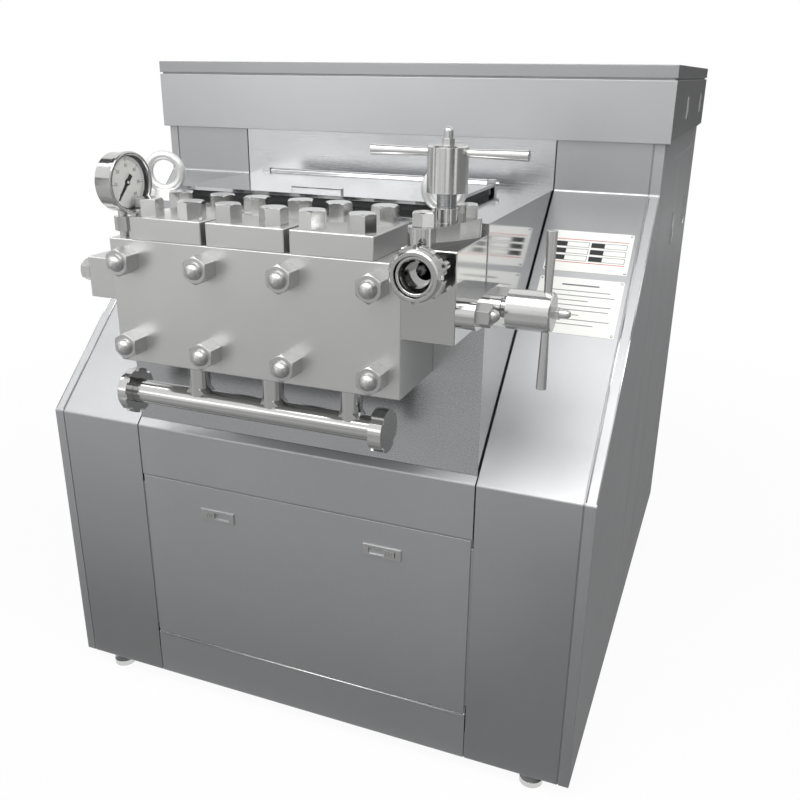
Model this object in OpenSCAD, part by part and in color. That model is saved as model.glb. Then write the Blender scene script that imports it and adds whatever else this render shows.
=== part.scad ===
// Dairy homogenizer: a three plunger high pressure pump with two homogenizing valves, carried on a
// crank drive inside a stainless steel cabinet. Millimetres, X to the right seen from the front,
// Y to the back, Z up. The origin lies on the floor under the middle of the machine's outline.

/* [Cabinet] */
// Width over the two side panels
cab_w = 960; // [940:1:1060]
// Depth from the front face to the back face
cab_d = 1140; // [1120:1:1260]
// Height of the front face, from the lower edge of the panels
front_h = 508; // [490:1:520]
// Distance from the front face to the wall above the slope
slope_run = 406; // [400:1:420]
// Height of the crease where the slope meets that wall
crease_h = 890; // [885:1:900]
// Height of the wall's upper edge, where the hood sits
wall_h = 973; // [960:1:1000]
// Thickness of the sheet metal
sheet = 2; // [1.5:0.1:3]
// Width of the dark seams between panels
seam = 2; // [1:0.1:3]
// Width of the folded strip along the front edges of each side panel
edge_strip = 17; // [12:1:24]
// Distance of the joint in each side panel from the front face
side_joint = 455; // [440:1:480]

/* [Hood] */
// Height of the hood's walls
hood_h = 97; // [80:1:120]
// Overhang of the hood past the sides and past the wall
hood_over = 8; // [4:1:12]
// Overhang of the hood past the back
hood_back = 12; // [11:1:20]
// Height of the hood's lid, a shallow pan
hood_lid_h = 20; // [15:1:30]
// Height of the shadow gap under the lid
hood_gap = 3; // [2:0.5:5]

/* [Doors] */
// Height of the service door's lower edge
door_low = 90; // [70:1:110]
// Height of the service door's upper edge
door_high = 414; // [390:1:430]
// Width of the service door
door_w = 598; // [560:1:600]
// Front edge of the side door, from the front face
side_door_front = 650; // [620:1:680]
// Distance of the side door's rear edge from the back face
side_door_back = 50; // [40:1:80]
// Height of the side door's upper edge
side_door_high = 930; // [900:1:940]
// Length of a latch plate
latch_l = 66; // [56:1:80]
// Width of a latch plate
latch_w = 20; // [18:1:26]
// Distance of the service door's latches from the middle
latch_x = 153; // [120:1:180]
// Length of the sliding thumb button
thumb_l = 18; // [14:1:24]
// Gap between a door and the ledge that it closes against
door_fit = 0.3; // [0.2:0.05:0.5]

/* [Feet and frame] */
// Height of the levelling feet
foot_h = 30; // [25:1:50]
// Diameter of a foot's pad
foot_d = 40; // [36:1:70]
// Diameter of a foot's screw
foot_screw_d = 16; // [12:1:20]
// Distance of the feet from the side panels
foot_inset = 66; // [60:1:100]
// Width of the frame's square tube
tube = 50; // [40:1:60]
// Wall thickness of the frame's square tube
tube_wall = 4; // [3:0.5:6]

/* [Crankcase] */
// Width of the crankcase
case_w = 602; // [598:1:620]
// Distance of its front wall from the cabinet's front face
case_y = 12; // [8:1:16]
// Depth of the crankcase
case_d = 680; // [675:1:700]
// Height of its underside
case_low = 500; // [480:1:505]
// Thickness of its walls
case_wall = 10; // [8:1:14]
// Thickness of its machined front wall
case_front = 30; // [26:1:40]
// Width of the inspection cover
cover_w = 440; // [400:1:450]
// Distance of the cover's front edge from the crankcase's front
cover_y = 56; // [50:1:62]
// Depth of the inspection cover
cover_d = 253; // [240:1:260]
// Thickness of the inspection cover
cover_t = 5; // [3:0.5:8]
// Height of the rim that the cover closes on
rim_h = 10; // [8:1:14]
// Diameter of the cover's hinge pin
hinge_d = 8; // [6:1:10]

/* [Crank drive] */
// Distance between neighbouring plungers
pitch = 128; // [124:1:132]
// Height of the plungers' axes
plunger_h = 758; // [754:1:760]
// Diameter of a plunger
plunger_d = 40; // [34:1:44]
// Half of the stroke
crank_r = 25; // [20:1:27]
// Distance of the crankshaft from the crankcase's rear end
crank_back = 92; // [88:1:96]
// Diameter of the crankshaft's journals
journal_d = 70; // [60:1:76]
// Diameter of the crankpins
pin_d = 60; // [52:1:66]
// Length of a connecting rod between centres
rod_l = 200; // [195:1:205]
// Diameter of a crosshead
crosshead_d = 84; // [80:1:90]
// Diameter of a wrist pin
wrist_d = 24; // [20:1:28]
// Radial running clearance of shafts and sliding pieces
run_fit = 0.05; // [0.03:0.01:0.08]
// Outside diameter of the large pulley
pulley_d = 360; // [330:1:364]
// Outside diameter of the motor's pulley
motor_pulley_d = 150; // [130:1:180]
// Diameter of the motor's frame
motor_d = 300; // [260:1:320]
// Distance of the motor from the cabinet's front face
motor_y = 820; // [800:1:860]

/* [Pump head] */
// Width of the pump block beyond three pitches
block_ends = 68; // [56:1:86]
// Depth of the pump block
block_d = 128; // [122:1:136]
// Height of the pump block's underside
block_low = 671; // [660:1:674]
// Height of the pump block
block_h = 182; // [178:1:192]
// Distance of the valve axes from the pump block's front face
valve_in = 60; // [58:1:64]
// Thickness of the valve covers
lid_t = 32; // [26:1:38]
// Width of the slots between the valve covers
lid_slot = 8; // [5:1:12]
// Size across flats of the cover bolts
hex_af = 34; // [28:1:36]
// Height of the cover bolts' heads
hex_h = 25; // [18:1:28]
// Diameter of the cover bolts
bolt_d = 22; // [18:1:24]
// Size across flats of the head's nuts
head_af = 35; // [30:1:38]
// Height of the head's nuts
head_nut_h = 27; // [22:1:30]
// Diameter of the head's studs
stud_d = 25; // [22:1:26]
// Distance between the two rows of studs
stud_rows = 122; // [116:1:130]
// Height of the middle between the rows above the plungers' axes
stud_up = 5; // [0:1:8]
// Distance between the cover bolts, across
bolt_x = 70; // [64:1:74]
// Distance between the cover bolts, front to back
bolt_y = 78; // [72:1:82]
// Lift of the suction and delivery valves
valve_lift = 6; // [4:0.5:8]

/* [Pipework] */
// Outside diameter of the inlet pipe and the unions' liners
pipe_d = 38; // [36:1:40]
// Wall thickness of the pipes
pipe_wall = 1.5; // [1.2:0.1:2]
// Wall thickness of the unions' turned liners
liner_wall = 2.5; // [2:0.1:3]
// Height of the inlet pipe's axis
inlet_h = 598; // [590:1:604]
// Outside diameter of the branch pipes
branch_d = 32; // [30:1:34]
// Outside diameter of the round slotted nuts
union_d = 72; // [70:1:80]
// Length of the round slotted nuts
union_l = 20; // [18:1:30]
// Number of slots round a nut
union_slots = 8; // [6:1:12]

/* [Homogenizing valves] */
// Width of the valve block
vb_w = 74; // [72:1:76]
// Depth of the valve block
vb_d = 132; // [130:1:138]
// Height of the valve block's underside
vb_low = 756; // [745:1:760]
// Height of the valve block
vb_h = 119; // [114:1:130]
// Height of the second stage's axis
second_h = 796; // [792:1:800]
// Height of the outlet's axis
outlet_h = 849; // [846:1:852]
// Distance of the outlet's axis to the left of the first stage's axis
outlet_in = 4; // [0:1:6]
// Distance of the outlet's mouth from the valve block's front face
outlet_l = 38; // [34:1:50]
// Thickness of the lens shaped flanges
flange_t = 25; // [20:1:30]
// Size across flats of the flanges' bolts and nuts
flange_af = 27; // [24:1:30]
// Height of the flanges' bolt heads and nuts
flange_hex = 18; // [15:1:22]
// Diameter of the flanges' bolts and studs
flange_stud = 18; // [16:1:20]
// Distance of a flange bolt from the valve's axis
flange_bolt = 47; // [46:1:50]
// Diameter of the bonnet's neck
neck_d = 30; // [28:1:34]
// Diameter of the neck's upper part, which carries the thread
thread_d = 25; // [24:1:27]
// Length of the bonnet's neck and thread
neck_l = 52; // [46:1:58]
// Diameter of the handle's hub
hub_d = 52; // [46:1:54]
// Length of the handle's hub
hub_l = 57; // [52:1:64]
// Gap between the first stage's hub and its flange
first_gap = 37; // [32:1:42]
// Gap between the second stage's hub and its flange
second_gap = 27; // [26:1:42]
// Length of the cross bar
bar_l = 205; // [180:1:220]
// Diameter of the cross bar at its ends
bar_d = 14; // [13:1:16]
// Diameter of the cross bar at the hub
bar_root = 10; // [8:1:12]
// Distance of the cross bar from the hub's end
bar_in = 9; // [8:1:12]
// Diameter of the valve rod
spindle_d = 18; // [14:1:20]
// Lift of a valve rod when the handle is backed off
spindle_lift = 6; // [4:0.5:8]
// Turn of the first stage's flange away from the front to back line
flange_turn = 17; // [0:1:25]

/* [Gauge and lifting eyes] */
// Diameter of the gauge
gauge_d = 84; // [76:1:100]
// Depth of the gauge's case
gauge_t = 28; // [27:1:40]
// Height of the gauge's middle above the pump block
gauge_up = 77; // [72:1:90]
// Distance of the gauge's stem from the pump block's left side
gauge_x = 22; // [18:1:26]
// Turn of the gauge's face from the front towards the right
gauge_turn = 86; // [0:1:90]
// Outside diameter of a lifting eye
eye_d = 65; // [60:1:80]
// Diameter of the bar that the eye is made of
eye_bar = 14; // [12:1:18]
// Distance of the left lifting eye from the middle
eye_left = 235; // [225:1:250]
// Distance of the right lifting eye from the middle
eye_right = 226; // [220:1:250]
// Turn of the lifting eyes' rings from the front towards the right
eye_turn = 20; // [0:1:30]

/* [Hidden] */
$fn = 64;

// Heights above the floor
z_low = foot_h;
z_edge = foot_h + front_h;
z_crease = foot_h + crease_h;
z_wall = foot_h + wall_h;
z_hood = z_wall + hood_h;
z_door = foot_h + door_low;
z_case = foot_h + case_low;
z_plunger = foot_h + plunger_h;
z_studs = z_plunger + stud_up;
z_block = foot_h + block_low;
z_block_top = z_block + block_h;
z_vb = foot_h + vb_low;
z_vb_top = z_vb + vb_h;
z_inlet = foot_h + inlet_h;
z_second = foot_h + second_h;
z_outlet = foot_h + outlet_h;
z_frame = foot_h + tube;

// Half widths and places across the machine
half_w = cab_w / 2;
strip_x = half_w - edge_strip;
half_case = case_w / 2;
block_w = 3 * pitch + block_ends;
half_block = block_w / 2;
left_trim = 4;
block_left = left_trim - half_block;
vb_right = half_block + vb_w;
stage_x = half_block + vb_w / 2;
outlet_x = stage_x - outlet_in;

// Places front to back
crank_y = case_y + case_d - crank_back;
side_door_rear = cab_d - side_door_back;
block_front = case_y - block_d;
valve_y = block_front + valve_in;
vb_front = case_y - vb_d;
outlet_y = vb_front - outlet_l;
hood_front = slope_run - hood_over;
hood_rear = cab_d + hood_back;
nut_proud = 4;
y_mid = (outlet_y - nut_proud + hood_rear) / 2;

// The folded front skin: front face, slope and upper wall
slope = atan2(crease_h - front_h, slope_run);
n_front = [1, 0];
n_slope = [sin(slope), -cos(slope)];
fold_r = 5;
fold_steps = 4;
function miter(p, t) = p + t * (n_front + n_slope) / (1 + n_front * n_slope);
function normal(a) = [cos(a), sin(a)];
function skin(t) = concat(
    [[t, z_low]],
    [for (k = [0 : fold_steps])
        miter([0, z_edge], fold_r) - (fold_r - t) * normal((slope - 90) * k / fold_steps)],
    [for (k = [fold_steps : -1 : 0])
        miter([slope_run, z_crease], -fold_r) + (fold_r + t) * normal((slope - 90) * k / fold_steps)],
    [[slope_run + t, z_wall]]
);
function reversed(v) = [for (i = [len(v) - 1 : -1 : 0]) v[i]];

// Small shapes that many pieces share
eps = 0.01;
chamfer = 2;
ease = 1.2;

module place() { translate([0, -y_mid, 0]) children(); }

module box(x, y, z) {
    translate([x[0], y[0], z[0]]) cube([x[1] - x[0], y[1] - y[0], z[1] - z[0]]);
}

module rod_x(d, x, y, z) {
    translate([x[0], y, z]) rotate([0, 90, 0]) cylinder(d = d, h = x[1] - x[0]);
}

module rod_y(d, x, y, z) {
    translate([x, y[0], z]) rotate([-90, 0, 0]) cylinder(d = d, h = y[1] - y[0]);
}

module rod_z(d, x, y, z) {
    translate([x, y, z[0]]) cylinder(d = d, h = z[1] - z[0]);
}

// Machined block whose edges are all broken by a small chamfer
module eased_box(x, y, z, c) {
    size = [x[1] - x[0], y[1] - y[0], z[1] - z[0]];
    translate([x[0], y[0], z[0]]) intersection() {
        linear_extrude(size[2]) eased_square(size[0], size[1], c);
        translate([0, size[1], 0]) rotate([90, 0, 0])
            linear_extrude(size[1]) eased_square(size[0], size[2], c);
        rotate([90, 0, 90]) linear_extrude(size[0]) eased_square(size[1], size[2], c);
    }
}

module eased_square(a, b, c) {
    polygon([[c, 0], [a - c, 0], [a, c], [a, b - c], [a - c, b], [c, b], [0, b - c], [0, c]]);
}

module along_x(x) {
    translate([x[0], 0, 0]) rotate([90, 0, 90]) linear_extrude(x[1] - x[0]) children();
}

// Hexagon along Z with its outer corners turned down to a cone
module hex(af, h) {
    corner = af / cos(30);
    intersection() {
        cylinder(d = corner, h = h, $fn = 6);
        union() {
            cylinder(d = corner + 1, h = h - chamfer);
            translate([0, 0, h - chamfer])
                cylinder(d1 = corner, d2 = corner - 3 * chamfer, h = chamfer);
        }
    }
}

// Hexagon nut on the domed end of a stud, with the stud running down to a depth
module stud_nut(af, h, d, depth) {
    difference() {
        hex(af, h);
        translate([0, 0, -eps]) cylinder(d = d + 2 * run_fit, h = h + 2 * eps);
    }
    translate([0, 0, -depth]) cylinder(d = d, h = depth + h);
    translate([0, 0, h]) intersection() {
        sphere(d = d);
        cylinder(d = d + 1, h = d / 2);
    }
}

module hex_bolt(af, h, d, depth) {
    hex(af, h);
    translate([0, 0, -depth]) cylinder(d = d, h = depth + eps);
}

// Cabinet

foot_x = half_w - foot_inset;
foot_front = sheet + tube / 2;
foot_rear = cab_d - 2 * tube;
nut_af = 24;
nut_t = 10;

module levelling_feet() {
    pad_h = 10;
    cone_h = 6;
    color("dimgray") place()
        for (x = [-foot_x, foot_x], y = [foot_front, foot_rear]) translate([x, y, 0]) {
            cylinder(d = foot_d, h = pad_h);
            translate([0, 0, pad_h])
                cylinder(d1 = foot_d, d2 = foot_screw_d + 4, h = cone_h);
            cylinder(d = foot_screw_d, h = foot_h);
            translate([0, 0, foot_h - nut_t])
                cylinder(d = nut_af / cos(30), h = nut_t, $fn = 6);
        }
}

frame_x = half_w - sheet;
frame_rear = cab_d - sheet;
stand_x = half_case - tube - case_wall;
motor_rail = 40;
motor_x = [-290, 170];
motor_foot_h = 20;
motor_z = z_frame + motor_foot_h + motor_d / 2;

// Square tube between two corners, hollow along the axis named by its open direction
module square_tube(x, y, z, open) {
    in_x = open == 0 ? [x[0] - 1, x[1] + 1] : [x[0] + tube_wall, x[1] - tube_wall];
    in_y = open == 1 ? [y[0] - 1, y[1] + 1] : [y[0] + tube_wall, y[1] - tube_wall];
    in_z = open == 2 ? [z[0] - 1, z[1] + 1] : [z[0] + tube_wall, z[1] - tube_wall];
    difference() {
        box(x, y, z);
        box(in_x, in_y, in_z);
    }
}

module base_frame() {
    rail = [z_low, z_frame];
    stand_y = [foot_front, case_y + case_d - 2 * tube];
    motor_rails = [motor_y - motor_d / 2, motor_y + motor_d / 2];
    color("gray") place() {
        for (s = [-1, 1]) {
            square_tube([s * (frame_x - tube / 2) - tube / 2, s * (frame_x - tube / 2) + tube / 2],
                        [2 * sheet, frame_rear], rail, 1);
            for (y = [stand_y[0] + 2 * sheet, stand_y[1]])
                square_tube([s * stand_x - tube / 2, s * stand_x + tube / 2],
                            [y - tube / 2, y + tube / 2], [z_frame - eps, z_case], 2);
        }
        for (y = concat(stand_y, motor_rails, [foot_rear]))
            square_tube([-frame_x + tube - eps, frame_x - tube + eps],
                        [y - tube / 2, y + tube / 2], rail, 0);
        for (x = [motor_x[0] + tube, motor_x[1] - 2 * tube])
            square_tube([x, x + motor_rail],
                        [motor_rails[0] + tube / 2 - eps, motor_rails[1] - tube / 2 + eps], rail, 1);
    }
}

ledge = 12;

// The outline of a side panel between two depths
module side_plate(x, y) {
    intersection() {
        along_x(x) polygon(concat(skin(0), [[cab_d, z_wall], [cab_d, z_low]]));
        box([x[0] - 1, x[1] + 1], y, [z_low, z_wall]);
    }
}

// Sheet that follows the folded front, its outer face at a depth behind the front face
module front_skin(x, depth) {
    along_x(x) polygon(concat(skin(depth), reversed(skin(depth + sheet))));
}

// Front part of a side panel with its folded strip, on the right side
module side_front() {
    side_plate([half_w - sheet, half_w], [0, side_joint - seam / 2]);
    front_skin([strip_x, half_w], 0);
    // Ledge behind the seam, which the front panel lies on
    front_skin([strip_x - ledge, half_w], sheet);
}

module left_side_panel() {
    color("silver") place() mirror([1, 0, 0]) {
        side_front();
        side_plate([half_w - sheet, half_w], [side_joint + seam / 2, cab_d]);
    }
}

module right_side_panel() {
    x = [half_w - sheet, half_w];
    z_top = foot_h + side_door_high;
    color("silver") place() {
        side_front();
        difference() {
            side_plate(x, [side_joint + seam / 2, cab_d]);
            box([x[0] - 1, x[1] + 1], [side_door_front - seam, side_door_rear + seam],
                [z_door - seam, z_top + 2 * latch_w]);
        }
        // Ledge that the door closes against, and the recess above the door
        difference() {
            box([x[0] - sheet, x[0]], [side_door_front - ledge, side_door_rear + ledge],
                [z_door - ledge, z_wall - sheet]);
            box([x[0] - sheet - 1, x[0] + 1], [side_door_front + ledge, side_door_rear - ledge],
                [z_door + ledge, z_top - ledge]);
        }
    }
}

// The front of the cabinet: two folded panels, with a header and a sill between them
mid_x = [-half_case, half_case];
z_door_top = foot_h + door_high;

// Folded panel on the right, with the ledge that the service door's edge closes against
module folded_panel() {
    front_skin([half_case + seam, strip_x - seam], 0);
    box([door_w / 2 - ledge, half_case + 2 * ledge], [sheet, 2 * sheet],
        [z_door + ledge + seam, z_door_top - ledge - seam]);
}

module left_front_panel() {
    color("gainsboro") place() mirror([1, 0, 0]) folded_panel();
}

module right_front_panel() {
    color("gainsboro") place() folded_panel();
}

module front_header() {
    color("darkgray") place() {
        intersection() {
            front_skin(mid_x, 0);
            box(mid_x, [-1, case_y], [z_door_top + seam, z_crease]);
        }
        box([mid_x[0], mid_x[1]], [sheet, 2 * sheet], [z_door_top - ledge, z_door_top + ledge]);
    }
}

module front_sill() {
    color("darkgray") place() {
        box(mid_x, [0, sheet], [z_low, z_door - seam]);
        box(mid_x, [sheet, 2 * sheet], [z_door - ledge, z_door + ledge]);
    }
}

// Latch plate lying in the XZ plane, its face towards -Y, with a window for the thumb button
plate_t = 2;
window_l = latch_l - latch_w;
window_w = latch_w / 2 + 1;
button_w = window_w - 2 * door_fit;

module latch_plate() {
    difference() {
        box([-latch_l / 2, latch_l / 2], [-plate_t, 0], [-latch_w / 2, latch_w / 2]);
        box([-window_l / 2, window_l / 2], [-plate_t - 1, 1], [-window_w / 2, window_w / 2]);
    }
}

// Thumb button at the left end of its window
module thumb_button() {
    x0 = -window_l / 2 + 2 * door_fit;
    rib = 2;
    difference() {
        box([x0, x0 + thumb_l], [-2 * plate_t, -door_fit], [-button_w / 2, button_w / 2]);
        for (k = [1 : 3])
            box([x0 + k * thumb_l / 4 - rib / 2, x0 + k * thumb_l / 4 + rib / 2],
                [-2 * plate_t - 1, -2 * plate_t + 1], [-button_w, button_w]);
    }
}

latch_down = 52;
z_latch = z_door_top - latch_down;

module service_door() {
    color("darkgray") place() {
        box([-door_w / 2, door_w / 2], [0, sheet - door_fit], [z_door, z_door_top]);
        for (x = [-latch_x, latch_x]) translate([x, 0, z_latch]) latch_plate();
    }
}

module service_latch(side) {
    color("silver") place() translate([side * latch_x, 0, z_latch])
        mirror([side > 0 ? 1 : 0, 0, 0]) thumb_button();
}

side_latch_in = 80;
side_latch_down = 140;
z_side_latch = foot_h + side_door_high - side_latch_down;
side_latch_front_y = side_door_front + side_latch_in;
side_latch_rear_y = side_door_rear - side_latch_in;

// Turns a latch made for the front so that it stands upright on the right side
module on_side(y) {
    translate([half_w, y, z_side_latch]) rotate([0, 0, 90]) rotate([0, -90, 0]) children();
}

module side_door() {
    color("silver") place() {
        box([half_w - sheet + door_fit, half_w], [side_door_front, side_door_rear],
            [z_door, foot_h + side_door_high]);
        for (y = [side_latch_front_y, side_latch_rear_y]) on_side(y) latch_plate();
    }
}

module side_latch(y) {
    color("silver") place() on_side(y) thumb_button();
}

module upper_wall() {
    color("lightgray") place()
        box(mid_x, [slope_run, slope_run + sheet], [z_crease, z_wall]);
}

hood_x = half_w + hood_over;
hood_flange = 40;

module hood() {
    grip_h = 34;
    color("darkgray") place() {
        difference() {
            box([-hood_x, hood_x], [hood_front, hood_rear], [z_wall, z_hood]);
            box([-hood_x + sheet, hood_x - sheet], [hood_front + sheet, hood_rear - sheet],
                [z_wall + sheet, z_hood - sheet]);
            box([-hood_x + hood_flange, hood_x - hood_flange],
                [hood_front + hood_flange, hood_rear - hood_flange], [z_wall - 1, z_hood + 1]);
        }
        // Grip plates on both sides
        for (s = [0, 1], y = [side_latch_front_y - latch_l, side_latch_rear_y])
            mirror([s, 0, 0]) difference() {
                box([hood_x, hood_x + plate_t], [y - latch_w / 2, y + latch_w / 2],
                    [z_hood - hood_h / 2 - grip_h / 2, z_hood - hood_h / 2 + grip_h / 2]);
                box([hood_x - 1, hood_x + plate_t + 1], [y - window_w / 2, y + window_w / 2],
                    [z_hood - hood_h / 2 - grip_h / 4, z_hood - hood_h / 2 + grip_h / 4]);
            }
    }
}

// Shallow pan on a recessed plinth that leaves the shadow gap under its edge
module hood_lid() {
    inset = 4;
    deep = 2 * inset;
    z = z_hood + hood_gap;
    color("darkgray") place() difference() {
        union() {
            box([-hood_x + inset, hood_x - inset], [hood_front + inset, hood_rear - inset],
                [z_hood, z + eps]);
            box([-hood_x, hood_x], [hood_front, hood_rear], [z, z + hood_lid_h]);
        }
        box([-hood_x + deep, hood_x - deep], [hood_front + deep, hood_rear - deep],
            [z_hood - 1, z + hood_lid_h - sheet]);
    }
}

// Back panel with rows of pressed louvres
louvre_w = 180;
louvre_pitch = 32;
louvre_rows = 9;
louvre_out = 10;
louvre_gap = 12;
louvre_z = 250;

module rear_panel() {
    y = [cab_d - sheet, cab_d];
    columns = [-louvre_w - 2 * louvre_pitch, 0, louvre_w + 2 * louvre_pitch];
    color("darkgray") place() {
        difference() {
            box([-frame_x, frame_x], y, [z_low, z_wall]);
            for (x = columns, k = [0 : louvre_rows - 1])
                box([x - louvre_w / 2, x + louvre_w / 2], [y[0] - 1, y[1] + 1],
                    [z_low + louvre_z + k * louvre_pitch,
                     z_low + louvre_z + k * louvre_pitch + louvre_gap]);
        }
        for (x = columns, k = [0 : louvre_rows - 1]) {
            z = z_low + louvre_z + k * louvre_pitch + louvre_gap;
            along_x([x - louvre_w / 2, x + louvre_w / 2])
                polygon([[y[1] - eps, z], [y[1] - eps, z + sheet], [y[1] + louvre_out, z - louvre_gap],
                         [y[1] + louvre_out - sheet, z - louvre_gap]]);
        }
    }
}

// Crankcase

case_in = [case_y + case_front, case_y + case_d - case_wall];
cover_front = case_y + cover_y;
cover_rear = cover_front + cover_d;
hatch_in = 20;
pivot_y = cover_rear + hinge_d;
pivot_z = z_crease + rim_h + hinge_d / 2;
knuckle_d = hinge_d + 6;
lug_t = 12;
bearing_d = 110;
bearing_w = 30;
guide_back = 108;
guide_l = 50;
guide_y = [crank_y - rod_l - guide_back - guide_l, crank_y - rod_l - guide_back];
guide_h = 120;
gland_d = plunger_d + 24;
gland_l = case_front + 20;

// Connecting rods stand at thirds of a turn; their wrist pins lie on the plungers' axes at rest
throws = [0, 120, 240];
cylinders = [-pitch, 0, pitch];
function pin_y(i) = crank_y - crank_r * cos(throws[i]);
function pin_z(i) = z_plunger + crank_r * sin(throws[i]);
function wrist_y(i) = pin_y(i) - sqrt(pow(rod_l, 2) - pow(crank_r * sin(throws[i]), 2));

module crankcase() {
    hatch = [cover_front + hatch_in, cover_rear - hatch_in];
    hatch_x = cover_w / 2 - hatch_in;
    rim = hatch_in / 2;
    side = [half_case - case_wall - 1, half_case + 1];
    stud_x = [for (k = [-1.5 : 1 : 1.5]) k * pitch];
    color("lightgray") place() {
        difference() {
            union() {
                box(mid_x, [case_y, case_y + case_d], [z_case, z_crease]);
                box([-hatch_x - rim, hatch_x + rim], [hatch[0] - rim, hatch[1] + rim],
                    [z_crease - eps, z_crease + rim_h]);
            }
            difference() {
                box([-half_case + case_wall, half_case - case_wall], case_in,
                    [z_case + case_wall, z_crease - case_wall]);
                // Cross wall with the crossheads' guide bores
                box([-half_case, half_case], guide_y,
                    [z_plunger - guide_h / 2, z_plunger + guide_h / 2]);
            }
            box([-hatch_x, hatch_x], hatch, [z_crease - case_wall - 1, z_crease + rim_h + 1]);
            for (s = [-1, 1])
                rod_x(bearing_d, [s * (half_case - case_wall / 2) - case_wall,
                                  s * (half_case - case_wall / 2) + case_wall], crank_y, z_plunger);
            for (x = cylinders) {
                rod_y(gland_d, x, [case_y - 1, case_y + case_front + 1], z_plunger);
                rod_y(crosshead_d + 2 * run_fit, x, [guide_y[0] - 1, guide_y[1] + 1], z_plunger);
            }
            for (x = stud_x, s = [-1, 1])
                rod_y(stud_d + 2 * run_fit, x, [case_y - 1, case_y + case_front - chamfer],
                      z_studs + s * stud_rows / 2);
        }
        // Hinge lugs and pin of the inspection cover
        for (s = [-1, 1])
            difference() {
                box([s * (cover_w / 2 - lug_t / 2) - lug_t / 2, s * (cover_w / 2 - lug_t / 2) + lug_t / 2],
                    [pivot_y - knuckle_d / 2, pivot_y + knuckle_d / 2],
                    [z_crease - eps, pivot_z + knuckle_d / 2]);
                rod_x(hinge_d + 2 * run_fit, [s * cover_w / 2 - 2 * lug_t, s * cover_w / 2 + 2 * lug_t],
                      pivot_y, pivot_z);
            }
        rod_x(hinge_d, [-cover_w / 2 - lug_t / 2, cover_w / 2 + lug_t / 2], pivot_y, pivot_z);
    }
}

module inspection_cover() {
    z = z_crease + rim_h + door_fit;
    grip = [84, 10, 6];
    grip_y = 30;
    knuckle = cover_w / 2 - lug_t - seam;
    color("darkgray") place() {
        difference() {
            union() {
                box([-cover_w / 2, cover_w / 2], [cover_front, cover_rear - seam], [z, z + cover_t]);
                box([-knuckle, knuckle], [cover_rear - 2 * seam, pivot_y], [z, z + cover_t]);
                rod_x(knuckle_d, [-knuckle, knuckle], pivot_y, pivot_z);
                translate([-grip[0] / 2, cover_front + grip_y, z + cover_t - eps]) cube(grip);
            }
            rod_x(hinge_d + 2 * run_fit, [-cover_w, cover_w], pivot_y, pivot_z);
        }
    }
}

module lifting_eyes() {
    collar_d = 40;
    collar_h = 12.5;
    ring_r = (eye_d - eye_bar) / 2;
    ring_z = collar_h + ring_r;
    eye_y = case_y + collar_d - hinge_d;
    color("white") place()
        for (x = [-eye_left, eye_right]) translate([x, eye_y, z_crease]) {
            cylinder(d1 = collar_d, d2 = collar_d - 8, h = collar_h);
            translate([0, 0, ring_z]) rotate([90, 0, eye_turn])
                rotate_extrude() translate([ring_r, 0]) circle(d = eye_bar);
        }
}

module main_bearings() {
    color("slategray") place()
        for (s = [-1, 1]) difference() {
            rod_x(bearing_d - 2 * run_fit, [s * half_case - bearing_w / 2 - s * case_wall / 2,
                                            s * half_case + bearing_w / 2 - s * case_wall / 2],
                  crank_y, z_plunger);
            rod_x(journal_d + 2 * run_fit, [-cab_w, cab_w], crank_y, z_plunger);
        }
}

web_d = 130;
web_t = 16;
pin_l = 38;
drive_x = -380;
drive_w = 90;
shaft_d = journal_d - 10;

module crankshaft() {
    half_pin = pin_l / 2;
    color("slategray") place() {
        rod_x(journal_d, [-half_case - bearing_w, -pitch - half_pin - eps], crank_y, z_plunger);
        rod_x(journal_d, [pitch + half_pin + eps, half_case + case_wall], crank_y, z_plunger);
        rod_x(shaft_d, [drive_x - drive_w / 2 - lug_t, -half_case - bearing_w + eps],
              crank_y, z_plunger);
        for (i = [0, 1])
            rod_x(journal_d, [cylinders[i] + half_pin + eps, cylinders[i + 1] - half_pin - eps],
                  crank_y, z_plunger);
        for (i = [0 : 2]) {
            rod_x(pin_d, [cylinders[i] - half_pin - eps, cylinders[i] + half_pin + eps],
                  pin_y(i), pin_z(i));
            for (s = [-1, 1])
                rod_x(web_d, [cylinders[i] + s * (half_pin + web_t / 2) - web_t / 2,
                              cylinders[i] + s * (half_pin + web_t / 2) + web_t / 2],
                      crank_y, z_plunger);
        }
    }
}

// A multi groove V-belt pulley turned about X
groove_n = 4;
groove_w = 16;
groove_depth = 12;
belt_t = 11;
belt_fit = 0.4;

module pulley(d, bore, x, y, z) {
    step = drive_w / (groove_n + 0.5);
    hub = bore + 40;
    rim_in = d - 2 * groove_depth - 24;
    web = 20;
    difference() {
        rod_x(d, [x - drive_w / 2, x + drive_w / 2], y, z);
        rod_x(bore + 2 * run_fit, [x - drive_w, x + drive_w], y, z);
        for (k = [0 : groove_n - 1]) {
            mid = x + (k - (groove_n - 1) / 2) * step;
            difference() {
                rod_x(d + 1, [mid - groove_w / 2, mid + groove_w / 2], y, z);
                rod_x(d - 2 * groove_depth, [mid - groove_w, mid + groove_w], y, z);
            }
        }
        if (rim_in > hub)
            for (s = [-1, 1]) difference() {
                rod_x(rim_in, [x + s * drive_w / 2 - (drive_w - web) / 2,
                               x + s * drive_w / 2 + (drive_w - web) / 2], y, z);
                rod_x(hub, [x - drive_w, x + drive_w], y, z);
            }
    }
}

module drive_pulley() {
    color("dimgray") place() pulley(pulley_d, shaft_d, drive_x, crank_y, z_plunger);
}

motor_shaft_d = 48;

module motor_rotor() {
    color("dimgray") place() {
        pulley(motor_pulley_d, motor_shaft_d, drive_x, motor_y, motor_z);
        rod_x(motor_shaft_d, [drive_x - drive_w / 2, motor_x[0] - 1], motor_y, motor_z);
    }
}

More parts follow.
